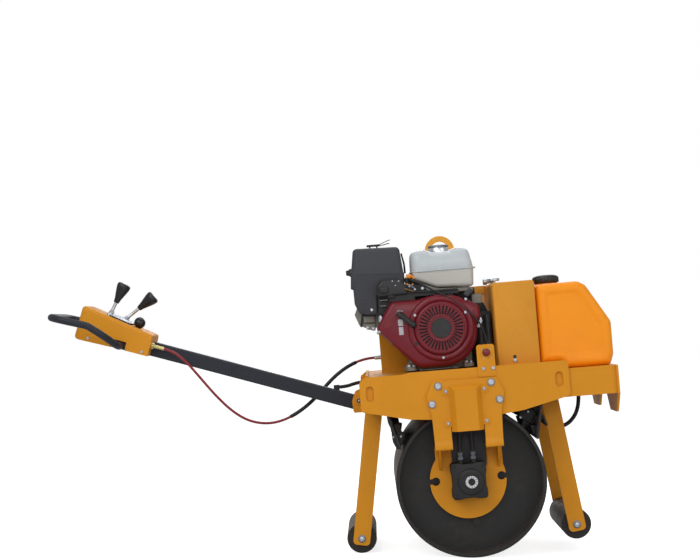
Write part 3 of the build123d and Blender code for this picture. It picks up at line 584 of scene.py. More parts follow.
# fastenings along Z with unit radius: washer, hexagon bolt and round-headed screw
WASHER = turned((0, 0, 0), (0, 0, 1), [(-0.3, 1.4), (0.12, 1.4), (0.18, 1.32)], 28)
HEX_BOLT = joined(
    turned((0, 0, 0), (0, 0, 1), [(-0.3, 1.14), (0.2, 1.14), (0.26, 1.06)], 28),
    turned((0, 0, 0.2), (0, 0, 1), [(0, 1), (0.72, 1), (0.88, 0.84), (0.88, 0.3), (0.8, 0.24)], 6),
)
SCREW = turned(
    (0, 0, 0), (0, 0, 1),
    [(-0.3, 1), (0.12, 1), (0.36, 0.86), (0.5, 0.6), (0.52, 0.45), (0.3, 0.4)], 18,
)


# ---- pieces ----
MERGE, SLIVER = 4e-5, 1e-5      # metres: points this near are one, and edges this short are none
FAR = 900                       # millimetres: a ray on to a CAD node starts this far off


def piece(name, part, finish, body="chassis", angle=32, pose=parked):
    """The surface as a finished piece that rides on a body. Edges over the angle stay sharp."""
    points, faces = part
    mesh = bpy.data.meshes.new(name)
    mesh.from_pydata(pose(points), [], faces)
    work = bmesh.new()
    work.from_mesh(mesh)
    bmesh.ops.remove_doubles(work, verts=work.verts, dist=MERGE)
    bmesh.ops.dissolve_degenerate(work, edges=work.edges, dist=SLIVER)
    bmesh.ops.recalc_face_normals(work, faces=work.faces)
    work.to_mesh(mesh)
    work.free()
    mesh.polygons.foreach_set("use_smooth", np.ones(len(mesh.polygons), bool))
    mesh.set_sharp_from_angle(angle=radians(angle))
    material, slot, _ = FINISHES[finish]
    mesh.materials.append(material)
    made = bpy.data.objects.new(name, mesh)
    bpy.context.scene.collection.objects.link(made)
    if body:
        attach(made, body)
    return made


def held(points):
    """Points drawn along the handle (u, w, v), as it stands, in metres."""
    return parked(on_handle(points))


def landing(node, at, axis):
    """Where a line that leaves a CAD node along an axis last touches it, in level millimetres."""
    axis = np.array(axis, float)
    start = Vector(parked(np.array(at, float) + FAR * axis))
    hit, place, _, _ = frame["nodes"][node].ray_cast(start, Vector(-(TURN @ axis)))
    if not hit:
        raise RuntimeError(f"nothing of {node} at {at}")
    return level(np.array(place))


def bolts(node, places, axis, size, template=HEX_BOLT):
    """Fastenings on a CAD node's surface."""
    return stamped(template, [landing(node, at, axis) for at in places], axis, size)


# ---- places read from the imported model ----
RIGHT, LEFT, UP, DOWN = (0, -1, 0), (0, 1, 0), (0, 0, 1), (0, 0, -1)
AHEAD, BEHIND = (1, 0, 0), (-1, 0, 0)


def middle(node):
    """Middle of a CAD node's box in the level frame."""
    low, high = level_box(node)
    return (low + high) / 2


CRANK = middle("recoil_cover")[[0, 2]]
RECOIL_FACE = level_box("recoil_cover")[0][1]
SHROUD_FACE = level_box("fan_shroud")[0][1]


def from_crank(rows):
    """Outline rows given from the crank's axis."""
    return [(CRANK[0] + a, CRANK[1] + b, r) for a, b, r in rows]


# ---- cords ----
def route(points):
    """The smooth NURBS line of a cord's points, read back as points in level millimetres."""
    curve = bpy.data.curves.new("route", "CURVE")
    curve.dimensions = "3D"
    curve.resolution_u = 16
    spline = curve.splines.new("NURBS")
    spline.points.add(len(points) - 1)
    spline.points.foreach_set("co", np.column_stack([parked(points), np.ones(len(points))]).ravel())
    spline.order_u = 3
    spline.use_endpoint_u = True
    line = bpy.data.objects.new("route", curve)
    mesh = bpy.data.meshes.new_from_object(line)
    flat = np.empty(3 * len(mesh.vertices))
    mesh.vertices.foreach_get("co", flat)
    bpy.data.objects.remove(line)
    bpy.data.curves.remove(curve)
    bpy.data.meshes.remove(mesh)
    return level(flat.reshape(-1, 3))


def control_cable():
    """Red control cable that hangs from the handle's gland to the lifting post, half in a sleeve
    whose ends taper."""
    start = on_handle([(700, 60, 2), (668, 60, 2)])
    path = route([
        *start, (-938, -57, 466), (-896, -50, 408), (-850, -40, 344), (-798, -26, 284),
        (-744, -9, 244), (-686, 8, 228), (-630, 24, 232), (-571, 37, 256), (-512, 47, 297),
        (-464, 53, 345), (-424, 62, 380), (-374, 77, 410), (-318, 90, 427), (-287, 90, 427),
    ])
    sleeve_starts, sleeve_ends = 0.545, 0.855       # metres along the cable
    run = along(path) / 1000
    covered = path[(run > sleeve_starts) & (run < sleeve_ends)]
    nearer_end = np.minimum(np.arange(len(covered)), np.arange(len(covered))[::-1])
    sleeve_radius = 5.6 + 0.9 * np.minimum(nearer_end / 2, 1)
    cable = piece("control_cable_jacket", swept(path, 4.5), "cable", None)
    sleeve = piece("control_cable_sleeve", swept(covered, sleeve_radius), "rubber", None)
    for part in (cable, sleeve):
        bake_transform(part)
    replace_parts(cable, "control_cable")


def beam_conduit():
    """Corrugated conduit over the handle's joint: its radius steps down in each groove."""
    ribs, rings = 20, 121
    line = route([
        (-418, 12, 336), (-394, 12, 336), (-364, 13, 344), (-342, 12, 347), (-322, 12, 347),
    ])
    share = np.linspace(0, 1, rings)
    path = spaced(line, np.linspace(0, 1, len(line)), share)
    radius = 6.5 - 0.9 * (np.sin(share * 2 * pi * ribs) > 0.2)
    tube = piece("beam_conduit_tube", swept(path, radius, 16), "rubber", None)
    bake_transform(tube)
    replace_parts(tube, "beam_conduit")


def water_hose():
    """Hose from the shelf under the water tank, down and back to the spray valve's barb, with a
    clip round the stretch before its end."""
    path = route([
        (406, -52, 342), (406, -52, 297), (408, -51, 240), (398, -49, 188), (370, -48, 152),
        (334, -49, 138), (297.8, -50, 144.4), (276, -50, 165),
    ])
    clipped = path[-12:-7]
    hose = piece("water_hose_tube", swept(path, 7, 18), "rubber")
    clip = piece("water_hose_clip", swept(clipped, 8.4, 18), "zinc")
    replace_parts(hose, "water_hose")


# ---- engine ----
def fan_shroud():
    """Pressed fan cover: its outline drawn forwards with a large rounded front edge, and a round
    bulge about the crank that carries the starter."""
    rows = from_crank([
        (-214, 10, 14), (-84, -128, 50), (121, -128, 114), (121, 12, 8), (136, 29, 10),
        (132, 64, 16), (103, 84, 20), (46, 109, 40), (-34, 109, 40), (-72, 100, 8),
        (-158, 100, 16), (-186, 60, 20),
    ])
    back = level_box("fan_shroud")[1][1]
    levels = [(0, back), (-1.5, back), (-1.5, back - 4), (0, back - 5)]
    levels += quarter(SHROUD_FACE, -17, 0, 8) + [(24, SHROUD_FACE - 1.2), (38, SHROUD_FACE - 1.6)]
    body = drawn_in(rows, levels)
    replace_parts(piece("fan_shroud_pressing", body, "shroud", angle=50), "fan_shroud")
    reach, height = 111, 11                         # of the bulge
    foot, face = (CRANK[0], SHROUD_FACE, CRANK[1]), (CRANK[0], RECOIL_FACE, CRANK[1])
    bulge = turned(
        foot, RIGHT,
        [
            (0, reach), (4, 110), (8, 107), (10.5, 103), (height, 98), (10, 93), (7.5, 90), (6, 87),
            (0, 87),
        ],
        96, loop=True,
    )
    piece("starter_bulge", bulge, "shroud", angle=50)
    rings = [
        turned(face, RIGHT, section, 72, loop=True)
        for section in (
            [(-1, 82), (1.4, 81.4), (1.8, 79), (0.4, 77), (-1, 77)],
            [(-1, 44), (0.9, 43.4), (1.2, 41), (0.6, 38), (-1, 37.6)],
        )
    ]
    piece("starter_rings", joined(*rings), "shroud", angle=50)
    piece("starter_screen", turned(foot, RIGHT, [(0.5, 82), (5, 82), (6, 40)], 72), "plastic")
    badge = [(0, 33), (1.6, 33), (2.2, 32.2), (2.2, 30.6), (1.5, 30), (1.5, 12)]
    piece("starter_badge", turned(face, RIGHT, badge, 72), "grip")
    top = SHROUD_FACE - height
    heads = [
        (-142.8, top, 564.2), (24.9, top, 560.9), (-59.4, top, 417.1), (30.4, SHROUD_FACE, 604.8),
        (-264, SHROUD_FACE + 10, 519),
    ]
    piece("shroud_bolts", stamped(HEX_BOLT, heads, RIGHT, 4.2), "zinc")
    dimple = turned((-145.5, top, 470.4), RIGHT, [(-1, 6.5), (0.5, 6.5), (0.4, 3)], 20)
    piece("shroud_plug", dimple, "plastic")


def starter_grip():
    """Moulded pull grip beside the starter, with its collar, wire guide and two blank plates."""
    low, high = np.array((-201, -359, 577)), np.array((-143, -359, 528))
    rows = [
        (0, 2), (0.6, 5.5), (3, 8.6), (8, 10.2), (18, 9.6), (34, 8.8), (52, 9.2), (66, 10.4),
        (72, 8.8), (75, 5.5), (75.6, 2),
    ]
    grip = turned(low, high - low, rows, 28)
    collar = turned(high + (-6, 9, 5), LEFT, [(-6, 9), (0, 10), (14, 12), (16, 12)], 28)
    piece("starter_grip", joined(grip, collar), "grip", angle=45)
    wire = [
        (-201, -336, 572), (-201, -346, 577), (-199, -347, 583), (-190, -347, 583),
        (-182, -346, 581), (-180, -336, 575),
    ]
    piece("grip_guide", swept(wire, 1.5, 10), "zinc")
    face = SHROUD_FACE - 1.2
    plates = [
        pad(frame_rows(x, z, 1.5), face + 1, face - 0.7, 0.4)
        for x, z in (((-200, -183), (533, 555)), ((-199, -184), (503, 529.5)))
    ]
    piece("blank_plates", joined(*plates), "label")


def eased(share):
    """3s^2 - 2s^3 of a share held between 0 and 1."""
    share = np.clip(share, 0, 1)
    return share ** 2 * (3 - 2 * share)


def filler_dish(rows, x, y):
    """Stack of upright rounded rectangles, rows of (z, x low, x high, y low, y high, radius), then
    closed towards a circle about the filler at (x, y). The top sinks in a band from the filler to
    the near edge, and every edge of the band falls in along 3s^2 - 2s^3."""
    points, closing, filler = 200, 12, 30           # of a ring, rings on the top, and its radius
    depth, band, border = 10, 49, 15                # of the dish; the band is this wide each way
    rings = []
    for z, x_low, x_high, y_low, y_high, radius in rows:
        edge = contour(frame_rows((x_low, x_high), (y_low, y_high), radius))
        shut = np.vstack([edge, edge[:1]])
        at = along(shut)
        edge = spaced(shut, at, np.linspace(0, at[-1], points, endpoint=False))
        rings.append(np.column_stack([edge, np.full(points, z)]))
    last = rings[-1]
    centre = np.array([x, y, last[0, 2]])
    circle = centre + filler * unit(last - centre)
    rings += [last + share * (circle - last) for share in np.linspace(0, 1, closing)[1:]]
    rings = np.array(rings)
    across = eased((band - np.abs(rings[..., 0] - x)) / border)
    towards = eased((y + 62 - rings[..., 1]) / 20)
    upper = eased((rings[..., 2] - 748) / 30)
    rings[..., 2] -= depth * across * towards * upper
    return skin(rings)


def fuel_tank():
    """Two drawn halves that meet at a rolled lip. The upper half is a stack of rounded rectangles
    that draw in towards the top. The lower one is its side outline, with a floor that slopes up to
    the rear, carried across the machine with wide rounded edges. The cap is turned and fluted."""
    x, y, _ = middle("fuel_cap")
    upper = filler_dish([
        (708, -141, 64, -311, -61, 22), (711, -142, 66, -312, -60, 24),
        (735, -142, 61.5, -311, -61, 26), (756, -141.5, 57, -309, -63, 28),
        (766, -140.5, 54.5, -306, -66, 29), (772, -138, 51, -302, -70, 30),
        (776.5, -133, 46, -296, -76, 30), (779, -126, 39, -288, -84, 29),
        (780.5, -114, 29, -278, -94, 27), (781, -80, 8, -250, -122, 20),
    ], x, y)
    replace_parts(piece("fuel_tank_upper", upper, "fuel_upper", angle=50), "fuel_tank")
    outline = [
        (-136, 728, 4), (-140.5, 704, 10), (-137, 685, 12), (-61, 652, 22), (62, 646, 12),
        (65.5, 704, 10), (58, 728, 4),
    ]
    piece("fuel_tank_lower", pad(outline, -61, -311, 15, base=15), "fuel_lower", angle=50)
    lip = frame_rows((-146, 74), (-317, -55), 30)
    levels = [(2, 707.6)] + quarter(707.6, -1.2)[::-1] + quarter(711.6, 1.2) + [(6, 712)]
    piece("fuel_tank_lip", drawn_in(lip, levels, TOP), "fuel_upper")
    skirt = turned((x, y, 768), UP, [(0, 35), (15, 34.4), (19, 33), (21, 29)], 64)
    piece("fuel_cap_skirt", skirt, "chrome", angle=40)
    cap = turned(
        (x, y, 787), UP, [(0, 31), (1, 34), (6, 34), (8, 32.5), (9.5, 28), (10, 12)], 96, 24, 0.035
    )
    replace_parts(piece("fuel_cap_shell", cap, "washer", angle=40), "fuel_cap")


def fuel_tank_trim():
    """Cradle under the tank, dark wall behind it, and the fuel hose with its filter and clamp."""
    cradle = [(-112, 672, 3), (-60, 650, 6), (60, 644, 3), (60, 630, 3), (-112, 636, 3)]
    wall = [
        (-164, 636, 2), (-164, 690, 4), (-142, 696, 4), (-138, 682, 4), (-60, 650, 6),
        (-60, 636, 2),
    ]
    piece("fuel_tank_cradle", pad(cradle, -254, -296, 3), "casting")
    piece("intake_wall", pad(wall, -250, -253.5, 2), "dark_casting")
    bends = [
        swept([(-134, -304, 688), (-146, -308, 698), (-156, -310, 700), (-160, -310, 690)], 4.6),
        swept([(-162, -310, 674), (-156, -312, 666), (-146, -312, 663), (-139, -308, 668)], 4.2),
    ]
    piece("fuel_hose", joined(*bends), "amber", angle=60)
    bulb = [(0, 4), (2, 8), (5, 9.5), (10, 9.5), (13, 7.5), (15, 4)]
    piece("fuel_filter", turned((-151, -307, 703), DOWN, bulb, 28), "amber")
    collar = [(0, 5.6), (1, 6.4), (17, 6.4), (18, 5.6)]
    piece("fuel_hose_clamp", turned((-160, -310, 691), DOWN, collar, 24), "black_steel")


def air_cleaner():
    """Filter housing: lid and base are side outlines carried across with rounded edges. Each one
    runs on inside the other, so that they meet at a lap joint. Its wing nut is turned."""
    lid = [(-345, 706, 2), (-331, 802, 15), (-176.5, 797.5, 15), (-166.5, 695, 2)]
    base = [
        (-337, 732, 2), (-344, 720, 2), (-348, 670, 2), (-340, 667, 2), (-339, 617, 24),
        (-326, 586, 30), (-300, 577.5, 24), (-266, 577, 10), (-262, 640, 6), (-196, 645, 14),
        (-166, 676, 14), (-166, 709, 4), (-178, 720, 2),
    ]
    made = piece("air_cleaner_lid", pad(lid, -140, -310, 14, base=14), "cleaner", angle=60)
    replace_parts(made, "air_cleaner")
    piece("air_cleaner_base", pad(base, -141, -309, 7, base=7), "cleaner_base", angle=50)
    nut = [(-3, 14), (4, 14), (7, 12.8), (11, 9.6), (17, 8.8), (19.5, 6.5)]
    piece("cleaner_nut", turned((-341, -225, 725), BEHIND, nut, 60, 12, 0.07), "grip", angle=40)


def air_cleaner_trim():
    """Clips, screws and the linkage cover beside the filter housing, and the barrel's wall and fins
    below it."""
    clip = pad(frame_rows((-284, -239), (-236, -214), 3), 807, 814, 2, TOP)
    posts = [pad(frame_rows((x, x + 5), (-228, -222), 1), 795, 808, 1, TOP) for x in (-276, -252)]
    hook = swept(
        [(-241, -225, 813), (-228, -225, 818), (-214, -226, 823), (-203, -226, 826)], 1.3, 10
    )
    lever = swept(
        [(-240, -219, 810), (-226, -219, 811), (-214, -220, 814), (-206, -220, 814)], 1.6, 10
    )
    strap = [
        (-172, 776, 1), (-167, 778, 1), (-159.5, 740, 2), (-158.5, 709, 1), (-165, 709, 1),
        (-165.5, 740, 2),
    ]
    side = pad(strap, -236, -214, 1, base=1)
    piece("cleaner_clips", joined(clip, *posts, hook, lever, side), "black_steel")
    hump = [
        (-262, 634, 4), (-160, 636, 5), (-161, 664, 10), (-181, 689, 14), (-244, 690, 16),
        (-260, 672, 10),
    ]
    levels = [(0, -305), (0, -324)] + quarter(-334, -9, 0, 6)[1:]
    ridge = pad(frame_rows((-254, -222), (645, 668), 8), -333, -341, 6)
    piece("linkage_cover", joined(drawn_in(hump, levels), ridge), "plastic", angle=50)
    # the barrel's wall is dark casting: painted shade where its fins lie in shadow under the shroud
    barrel = [(-262, 578, 4), (-214, 562, 4), (-206, 600, 6), (-190, 640, 4), (-262, 640, 4)]
    piece("barrel_wall", pad(barrel, -252, -306, 4), "dark_casting")
    fins = [
        [(-256, z, 1), (-226 + shift, z + 1, 1), (-228 + shift, z + 4, 1), (-254, z + 3, 1)]
        for z, shift in ((602, -8), (621, 0))
    ]
    piece("barrel_fins", joined(*[pad(fin, -300, -318, 1) for fin in fins]), "casting")
    marks = [(-208, -334, 683.5), (-187, -334, 682), (-199, -334, 669)]
    small = stamped(SCREW, marks, RIGHT, [2.6, 2.6, 2.2])
    plate = stamped(HEX_BOLT, [(-283.5, -309, 594)], RIGHT, 4.4)
    piece("cleaner_fastenings", joined(small, plate), "zinc")
    vents = [pad(frame_rows((-313, -300), (z, z + 6), 2), -308, -310.5, 0.8) for z in (617, 631)]
    piece("cleaner_vents", joined(*vents), "cleaner")


def cylinder_head_trim():
    """Valve cover, gasket band, spacer and bolts on the head's near side."""
    face = -250
    outline = [(-314, 552, 3), (-274, 552, 3), (-274, 576, 3), (-314, 577, 3)]
    levels = [(0, face + 2), (0, face - 8)] + quarter(face - 14, -5)[1:]
    step = [(-306, 530, 3), (-276, 524, 3), (-274, 548, 3), (-308, 550, 3)]
    cover = joined(drawn_in(outline, levels), pad(step, face, face - 7, 3))
    piece("valve_cover", cover, "casting")
    band = [(-327, 541, 1), (-321, 538, 1), (-311, 580, 1), (-318, 583, 1)]
    piece("head_gasket", pad(band, face, face - 9, 2), "dark_casting")
    spacer = turned((-255, -282, 552), UP, [(0, 9), (2, 9.6), (19, 9.6), (22, 8.4), (22, 4)], 24)
    heads = [(-302, face - 7, 536), (-283, face - 7, 532), (-268, face, 515)]
    piece("head_fastenings", joined(spacer, stamped(HEX_BOLT, heads, RIGHT, 4.4)), "zinc")


def governor():
    """Throttle plate, governor arm and stay, control base with its rolled lip, cable clamp, and the
    box beside the tank. The spring is a helix."""
    plate = pad([(-172, 643, 2), (-96, 643, 2), (-100, 664, 8), (-168, 668, 8)], -318, -321, 1)
    base = pad(frame_rows((-196, 66), (596, 642), 4), -258, -264, 2)
    piece("throttle_plate", joined(plate, base), "dark_casting")
    lip = [(-203, -327, 640), (-142, -327, 641), (-66, -326, 640), (8, -324, 640)]
    ends = pad(frame_rows((-226, -205), (627, 642), 3), -321, -330, 3)
    piece("control_lip", joined(swept(lip, 2.4, 10), ends), "black_steel")
    arm = pad([(-156, 668, 1), (-153, 671, 1), (-133, 654, 1), (-135, 651, 1)], -326, -328.5, 0.6)
    stay = pad([(-176, 659, 1), (-175, 662, 1), (-150, 649, 1), (-151, 646, 1)], -330, -332, 0.6)
    piece("governor_links", joined(arm, stay), "washer")
    turns, radius, points = 9, 2.6, 200
    share = np.linspace(0, 1, points)
    turn = np.linspace(0, 2 * pi * turns, points)
    coil = np.column_stack([
        -171 + 30 * share + radius * np.cos(turn), -332 + radius * np.sin(turn), 656 - 11 * share
    ])
    piece("governor_spring", swept(coil, 0.9, 6), "brass")
    eye = [(0, 7), (1.5, 8), (3, 7), (3, 5), (1.5, 4), (0, 5)]
    ring = turned((-20, -326, 628), RIGHT, eye, 24, loop=True)
    clamp = pad([(22, 622, 4), (38, 612, 4), (60, 631, 5), (46, 642, 5)], -318, -336, 4)
    piece("cable_clamp", joined(ring, clamp), "cleaner")
    heads = [(-109.5, -321, 652), (-135, -329, 650), (-152, -321, 662), (40, -334, 630)]
    piece("governor_screws", stamped(SCREW, heads, RIGHT, [6, 4, 3.5, 3.5]), "zinc")
    piece("switch_box", pad(frame_rows((52, 86), (588, 619), 4), -262, -304, 3), "casting")
    wedge = [(63, 508, 1), (73, 506, 1), (85, 529, 1), (79, 543, 1)]
    piece("side_stay", pad(wedge, -254, -257, 0.6), "zinc")


def crankcase_cover():
    """Cast cover on the crankcase's output side, with bolts round it, ribs on the bell housing and
    the oil plugs by its foot."""
    x, z = CRANK
    block = level_box("engine_block")[1][1]
    face = block + 9
    rows = from_crank([
        (-114, -126, 22), (92, -126, 22), (97, -40, 60), (93, 84, 44), (20, 118, 60),
        (-86, 112, 44), (-118, 40, 60),
    ])
    plate = pad(rows, block - 1, face, 3)
    rib = pad(frame_rows((60, 92), (-3, 3), 1), 0, 12, 2.5, TOP)
    ribs = stamped(rib, [(x, face - 2, z)] * 8, LEFT, 1.0, 2 * pi / 8)
    collar = turned((x, face, z), LEFT, [(-1, 82), (3, 82), (5, 79), (5, 70)], 72)
    piece("crankcase_cover", joined(plate, ribs, collar), "casting")
    places = [(a, face, b) for a, b, _ in shrunk(rows, 11)]
    places += [(x - 10, face, z - 115), (x + 84, face, z + 22)]
    piece("cover_bolts", stamped(HEX_BOLT, places, LEFT, 5.2), "zinc")
    plug = [(0, 13), (4, 13), (6, 11), (14, 10), (16, 7)]
    plugs = [turned((x + step, face - 1, z - 96), LEFT, plug, 36) for step in (-74, 74)]
    piece("oil_plugs", joined(*plugs), "plastic")


def pump_trim():
    """Flange, joint bands, end bolts and port unions of the tandem pump."""
    low, high = level_box("hydraulic_pump")
    x, z = CRANK
    near, far = low[1], high[1]
    flange = pad(from_crank(frame_rows((-58, 58), (-40, 40), 16)), near + 21, near + 34, 2)
    bands = [
        pad(from_crank(frame_rows((-47, 47), (-48, 48), 13)), y, y + 5, 1.5, base=1.5)
        for y in (near + 96, near + 112, far - 22)
    ]
    port = [(0, 20), (4, 20), (5, 14), (12, 13), (13, 9)]
    union = [(0, 11), (1, 12.5), (11, 12.5), (12, 10), (24, 8.5), (25, 6)]
    places = (near + 66, near + 150)
    ports = [turned((x + 44, y, z), AHEAD, port, 36) for y in places]
    piece("pump_bands", joined(flange, *bands, *ports), "dark_casting")
    unions = [turned((x + 56, y, z), AHEAD, union, 6) for y in places]
    heads = [(x + a, far, z + b) for a in (-33, 33) for b in (-34, 34)]
    heads += [(x + a, near + 34, z) for a in (-50, 50)]
    piece("pump_fastenings", joined(*unions, stamped(HEX_BOLT, heads, LEFT, 5)), "zinc")


def muffler_trim():
    """Heat shield with louvres on the muffler's rear face, its seam, and the tail pipe."""
    low, high = level_box("muffler")
    rear, right, foot = low
    front, left, top = high

    def panel(side, up, radius):
        """Outline on the rear face, drawn in from its sides and from its foot and top."""
        return frame_rows((right + side, left - side), up, radius)

    shield = pad(panel(14, (foot + 12, top - 12), 12), rear + 1, rear - 3, 2, END)
    louvres = [
        pad(panel(28, (z, z + 5), 2.4), rear - 2, rear - 6, 2, END)
        for z in np.linspace(foot + 24, top - 30, 5)
    ]
    side = frame_rows((rear + 6, front - 6), (foot + 6, top - 6), 12)
    seam = pad(side, left - 1, left + 2.4, 1.5)
    tail = [(0, 17), (3, 17), (3, 13), (20, 13), (20, 10.6), (6, 10.6)]
    pipe = turned(((rear + front) / 2, left, top - 34), LEFT, tail, 40)
    piece("muffler_shield", joined(shield, *louvres, seam, pipe), "scorched")
    heads = [(rear - 3, y, z) for y in (right + 21, left - 21) for z in (foot + 19, top - 19)]
    piece("shield_screws", stamped(SCREW, heads, BEHIND, 3.6), "washer")


def engine_feet():
    """Cast lugs with their bolts on the crankcase's base flange: each is a flat pad with an upright
    rib on its middle."""
    floor, lugs, heads = 393, [], []
    for rear, front in ((-182, -150), (8, 42)):
        mid = (rear + front) / 2
        rib = [
            (rear + 3, floor - 1, 1), (front - 3, floor - 1, 1), (mid + 4, 420, 3),
            (mid - 4, 420, 3),
        ]
        lugs.append(pad(frame_rows((rear, front), (-292, -246), 6), 380, floor, 3, TOP))
        lugs.append(pad(rib, -250, -258, 2))
        heads += [(mid - 8, -278, floor), (mid + 9, -276, floor)]
    piece("engine_lugs", joined(*lugs), "casting")
    piece("lug_bolts", stamped(HEX_BOLT, heads, UP, [7.5, 6, 7.5, 6]), "zinc")


# ---- tanks ----
def water_tank():
    """Blow-moulded tank: its outline carried across the machine, with wide rounded edges, a seam
    round its middle and a shallow panel whose border falls in along the curve 3s^2 - 2s^3."""
    low, high = level_box("water_tank")
    rear, _, bottom = low
    front, half, top = high
    foot = bottom + 54
    rows = np.array([
        (rear, bottom + 23, 8), (324, bottom + 23, 6), (344, bottom, 6), (front - 12, bottom, 14),
        (front, bottom + 36, 18), (front, top - 138, 30), (front - 75, top - 12, 30),
        (front - 100, top + 3, 34), (rear, top + 1, 20),
    ])
    inner = np.array([
        (rear + 42, foot, 14), (332, foot, 2), (352, foot, 2), (front - 50, foot, 14),
        (front - 44, bottom + 70, 16), (front - 46, top - 148, 30), (front - 98, top - 50, 30),
        (front - 116, top - 37, 30), (rear + 42, top - 37, 20),
    ])
    edge = [(shrunk(rows, inset), y) for inset, y in quarter(half, 21, 0, 9)]
    flat, depth = shrunk(rows, 24), 4.6
    share = np.linspace(0, 1, 14)
    panel = [(flat + s * (inner - flat), half - depth * eased(s)) for s in share]
    right = [(outline, -y) for outline, y in (edge + panel)[::-1]]
    seam = [(shrunk(rows, inset), y) for inset, y in ((0, -3), (-0.8, -1.5), (-0.8, 1.5), (0, 3))]
    made = piece("water_tank_moulding", stacked(right + seam + edge + panel), "water", angle=60)
    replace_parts(made, "water_tank")
    x, y, _ = middle("water_cap")
    at = (x, y, top)
    rim = [(6, 40), (7, 43.5), (9, 45.5), (22, 45.5), (26, 44), (26.5, 40)]
    dome = [(24, 43), (27, 43), (30, 40.5), (33, 35), (35, 27), (36, 16), (36.2, 6)]
    made = piece("water_cap_rim", turned(at, UP, rim, 128, 32, 0.03), "grip", angle=40)
    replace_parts(made, "water_cap")
    piece("water_cap_dome", turned(at, UP, dome, 72), "ball", angle=50)
    piece("water_tank_neck", turned(at, UP, [(-1, 38), (8, 38)], 64), "water")


def hydraulic_tank():
    """Folded steel tank, its outline carried across with rounded bends. The breather is turned; a
    plain slot and an earth bolt are on the near side."""
    low, high = level_box("hydraulic_tank")
    rear, near, foot = low
    front, far, top = high
    rows = [(rear, foot - 9, 2), (front, foot - 9, 2), (front, top, 11), (rear, top, 11)]
    made = piece("hydraulic_tank_shell", pad(rows, far, near, 5, base=5), "tank_yellow", angle=60)
    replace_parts(made, "hydraulic_tank")
    x, y, _ = middle("tank_breather")
    neck = turned((x, y, top), UP, [(-2, 15), (3, 15), (4, 11), (12, 11)], 6)
    barb = [(0, 9), (3, 11.5), (12, 11.5), (15, 8), (28, 7)]
    union = turned((x - 35, y, top + 12), AHEAD, barb, 24)
    piece("breather_union", joined(neck, union), "zinc")
    cap = [(0, 17), (1.5, 22), (8, 22.5), (10.5, 21), (12, 13)]
    made = piece(
        "breather_cap", turned((x + 2, y, top + 11), UP, cap, 72, 18, 0.04), "zinc", angle=40
    )
    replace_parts(made, "tank_breather")
    slot = pad(frame_rows((170, 181), (396, 408), 5), near + 2, near - 0.8, 0.5)
    piece("tank_slot", slot, "plastic")
    piece("tank_bolt", stamped(HEX_BOLT, [(175.5, near, 390)], RIGHT, 5.6), "zinc")


# ---- handle, drawn along its beam as (u, w, v) ----
BOX_FOOT, BOX_RISE, BOX_RUN = 748, 40, 255      # the control box's top starts here and slopes so


def control_levers():
    """Plated levers with a nut at the foot and a flared, dome-ended grip, each turned about its
    lever's line from foot to tip."""
    flare = np.array([
        (-0.02, 6), (-0.02, 8.6), (0.03, 9.8), (0.16, 11.2), (0.3, 13.8), (0.45, 17), (0.6, 20),
        (0.74, 22.6), (0.84, 23.7), (0.91, 23.4), (0.96, 21.4), (0.99, 17.5), (1.0, 12),
    ])
    nut = [(13, 8.6), (14, 9.4), (21, 9.4), (22, 8.6)]
    boss = [(-4, 12), (5, 12), (7, 11), (10, 9), (14, 8)]
    disc = [(-1, 13), (0.5, 13), (0.9, 11.5), (0.9, 4)]
    shafts, nuts, grips, discs = [], [], [], []
    # columns: along the beam and across it at the foot, along and up at the tip, bare share
    for foot_u, w, tip_u, tip_v, bare in ((914, 45, 891, 185, 0.43), (874, -45, 791, 169, 0.5)):
        foot = np.array((foot_u, w, 37 + (foot_u - BOX_FOOT) / BOX_RUN * BOX_RISE))
        tip = np.array((tip_u, w, tip_v))
        run = tip - foot
        reach = np.linalg.norm(run)
        shafts.append(turned(foot, run, [(-6, 6), (bare * reach + 4, 6)], 28))
        nuts += [turned(foot, run, nut, 6), turned(foot, run, boss, 28)]
        grips.append(turned(foot + bare * run, run, flare * ((1 - bare) * reach, 1), 40))
        discs.append(turned(tip, run, disc, 32))
    made = piece("control_lever_shafts", joined(*shafts), "chrome", "handle", 50, held)
    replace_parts(made, "control_levers")
    piece("control_lever_nuts", joined(*nuts), "zinc", "handle", 32, held)
    made = piece("lever_grip_shells", joined(*grips), "grip", "handle", 50, held)
    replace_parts(made, "lever_grips")
    piece("lever_grip_discs", joined(*discs), "zinc", "handle", 50, held)


def throttle_ball():
    """Ball on a short stem: at angle t from its foot, its radius times sin t."""
    radius = 20
    swing = np.linspace(0.35, pi - 0.08, 24)
    rows = [(-24, 7), (-20, 7), *zip(-radius * np.cos(swing), radius * np.sin(swing))]
    made = piece("throttle_ball", turned((807, 40, 67), UP, rows, 48), "ball", "handle", 50, held)
    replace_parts(made, "throttle_knob")


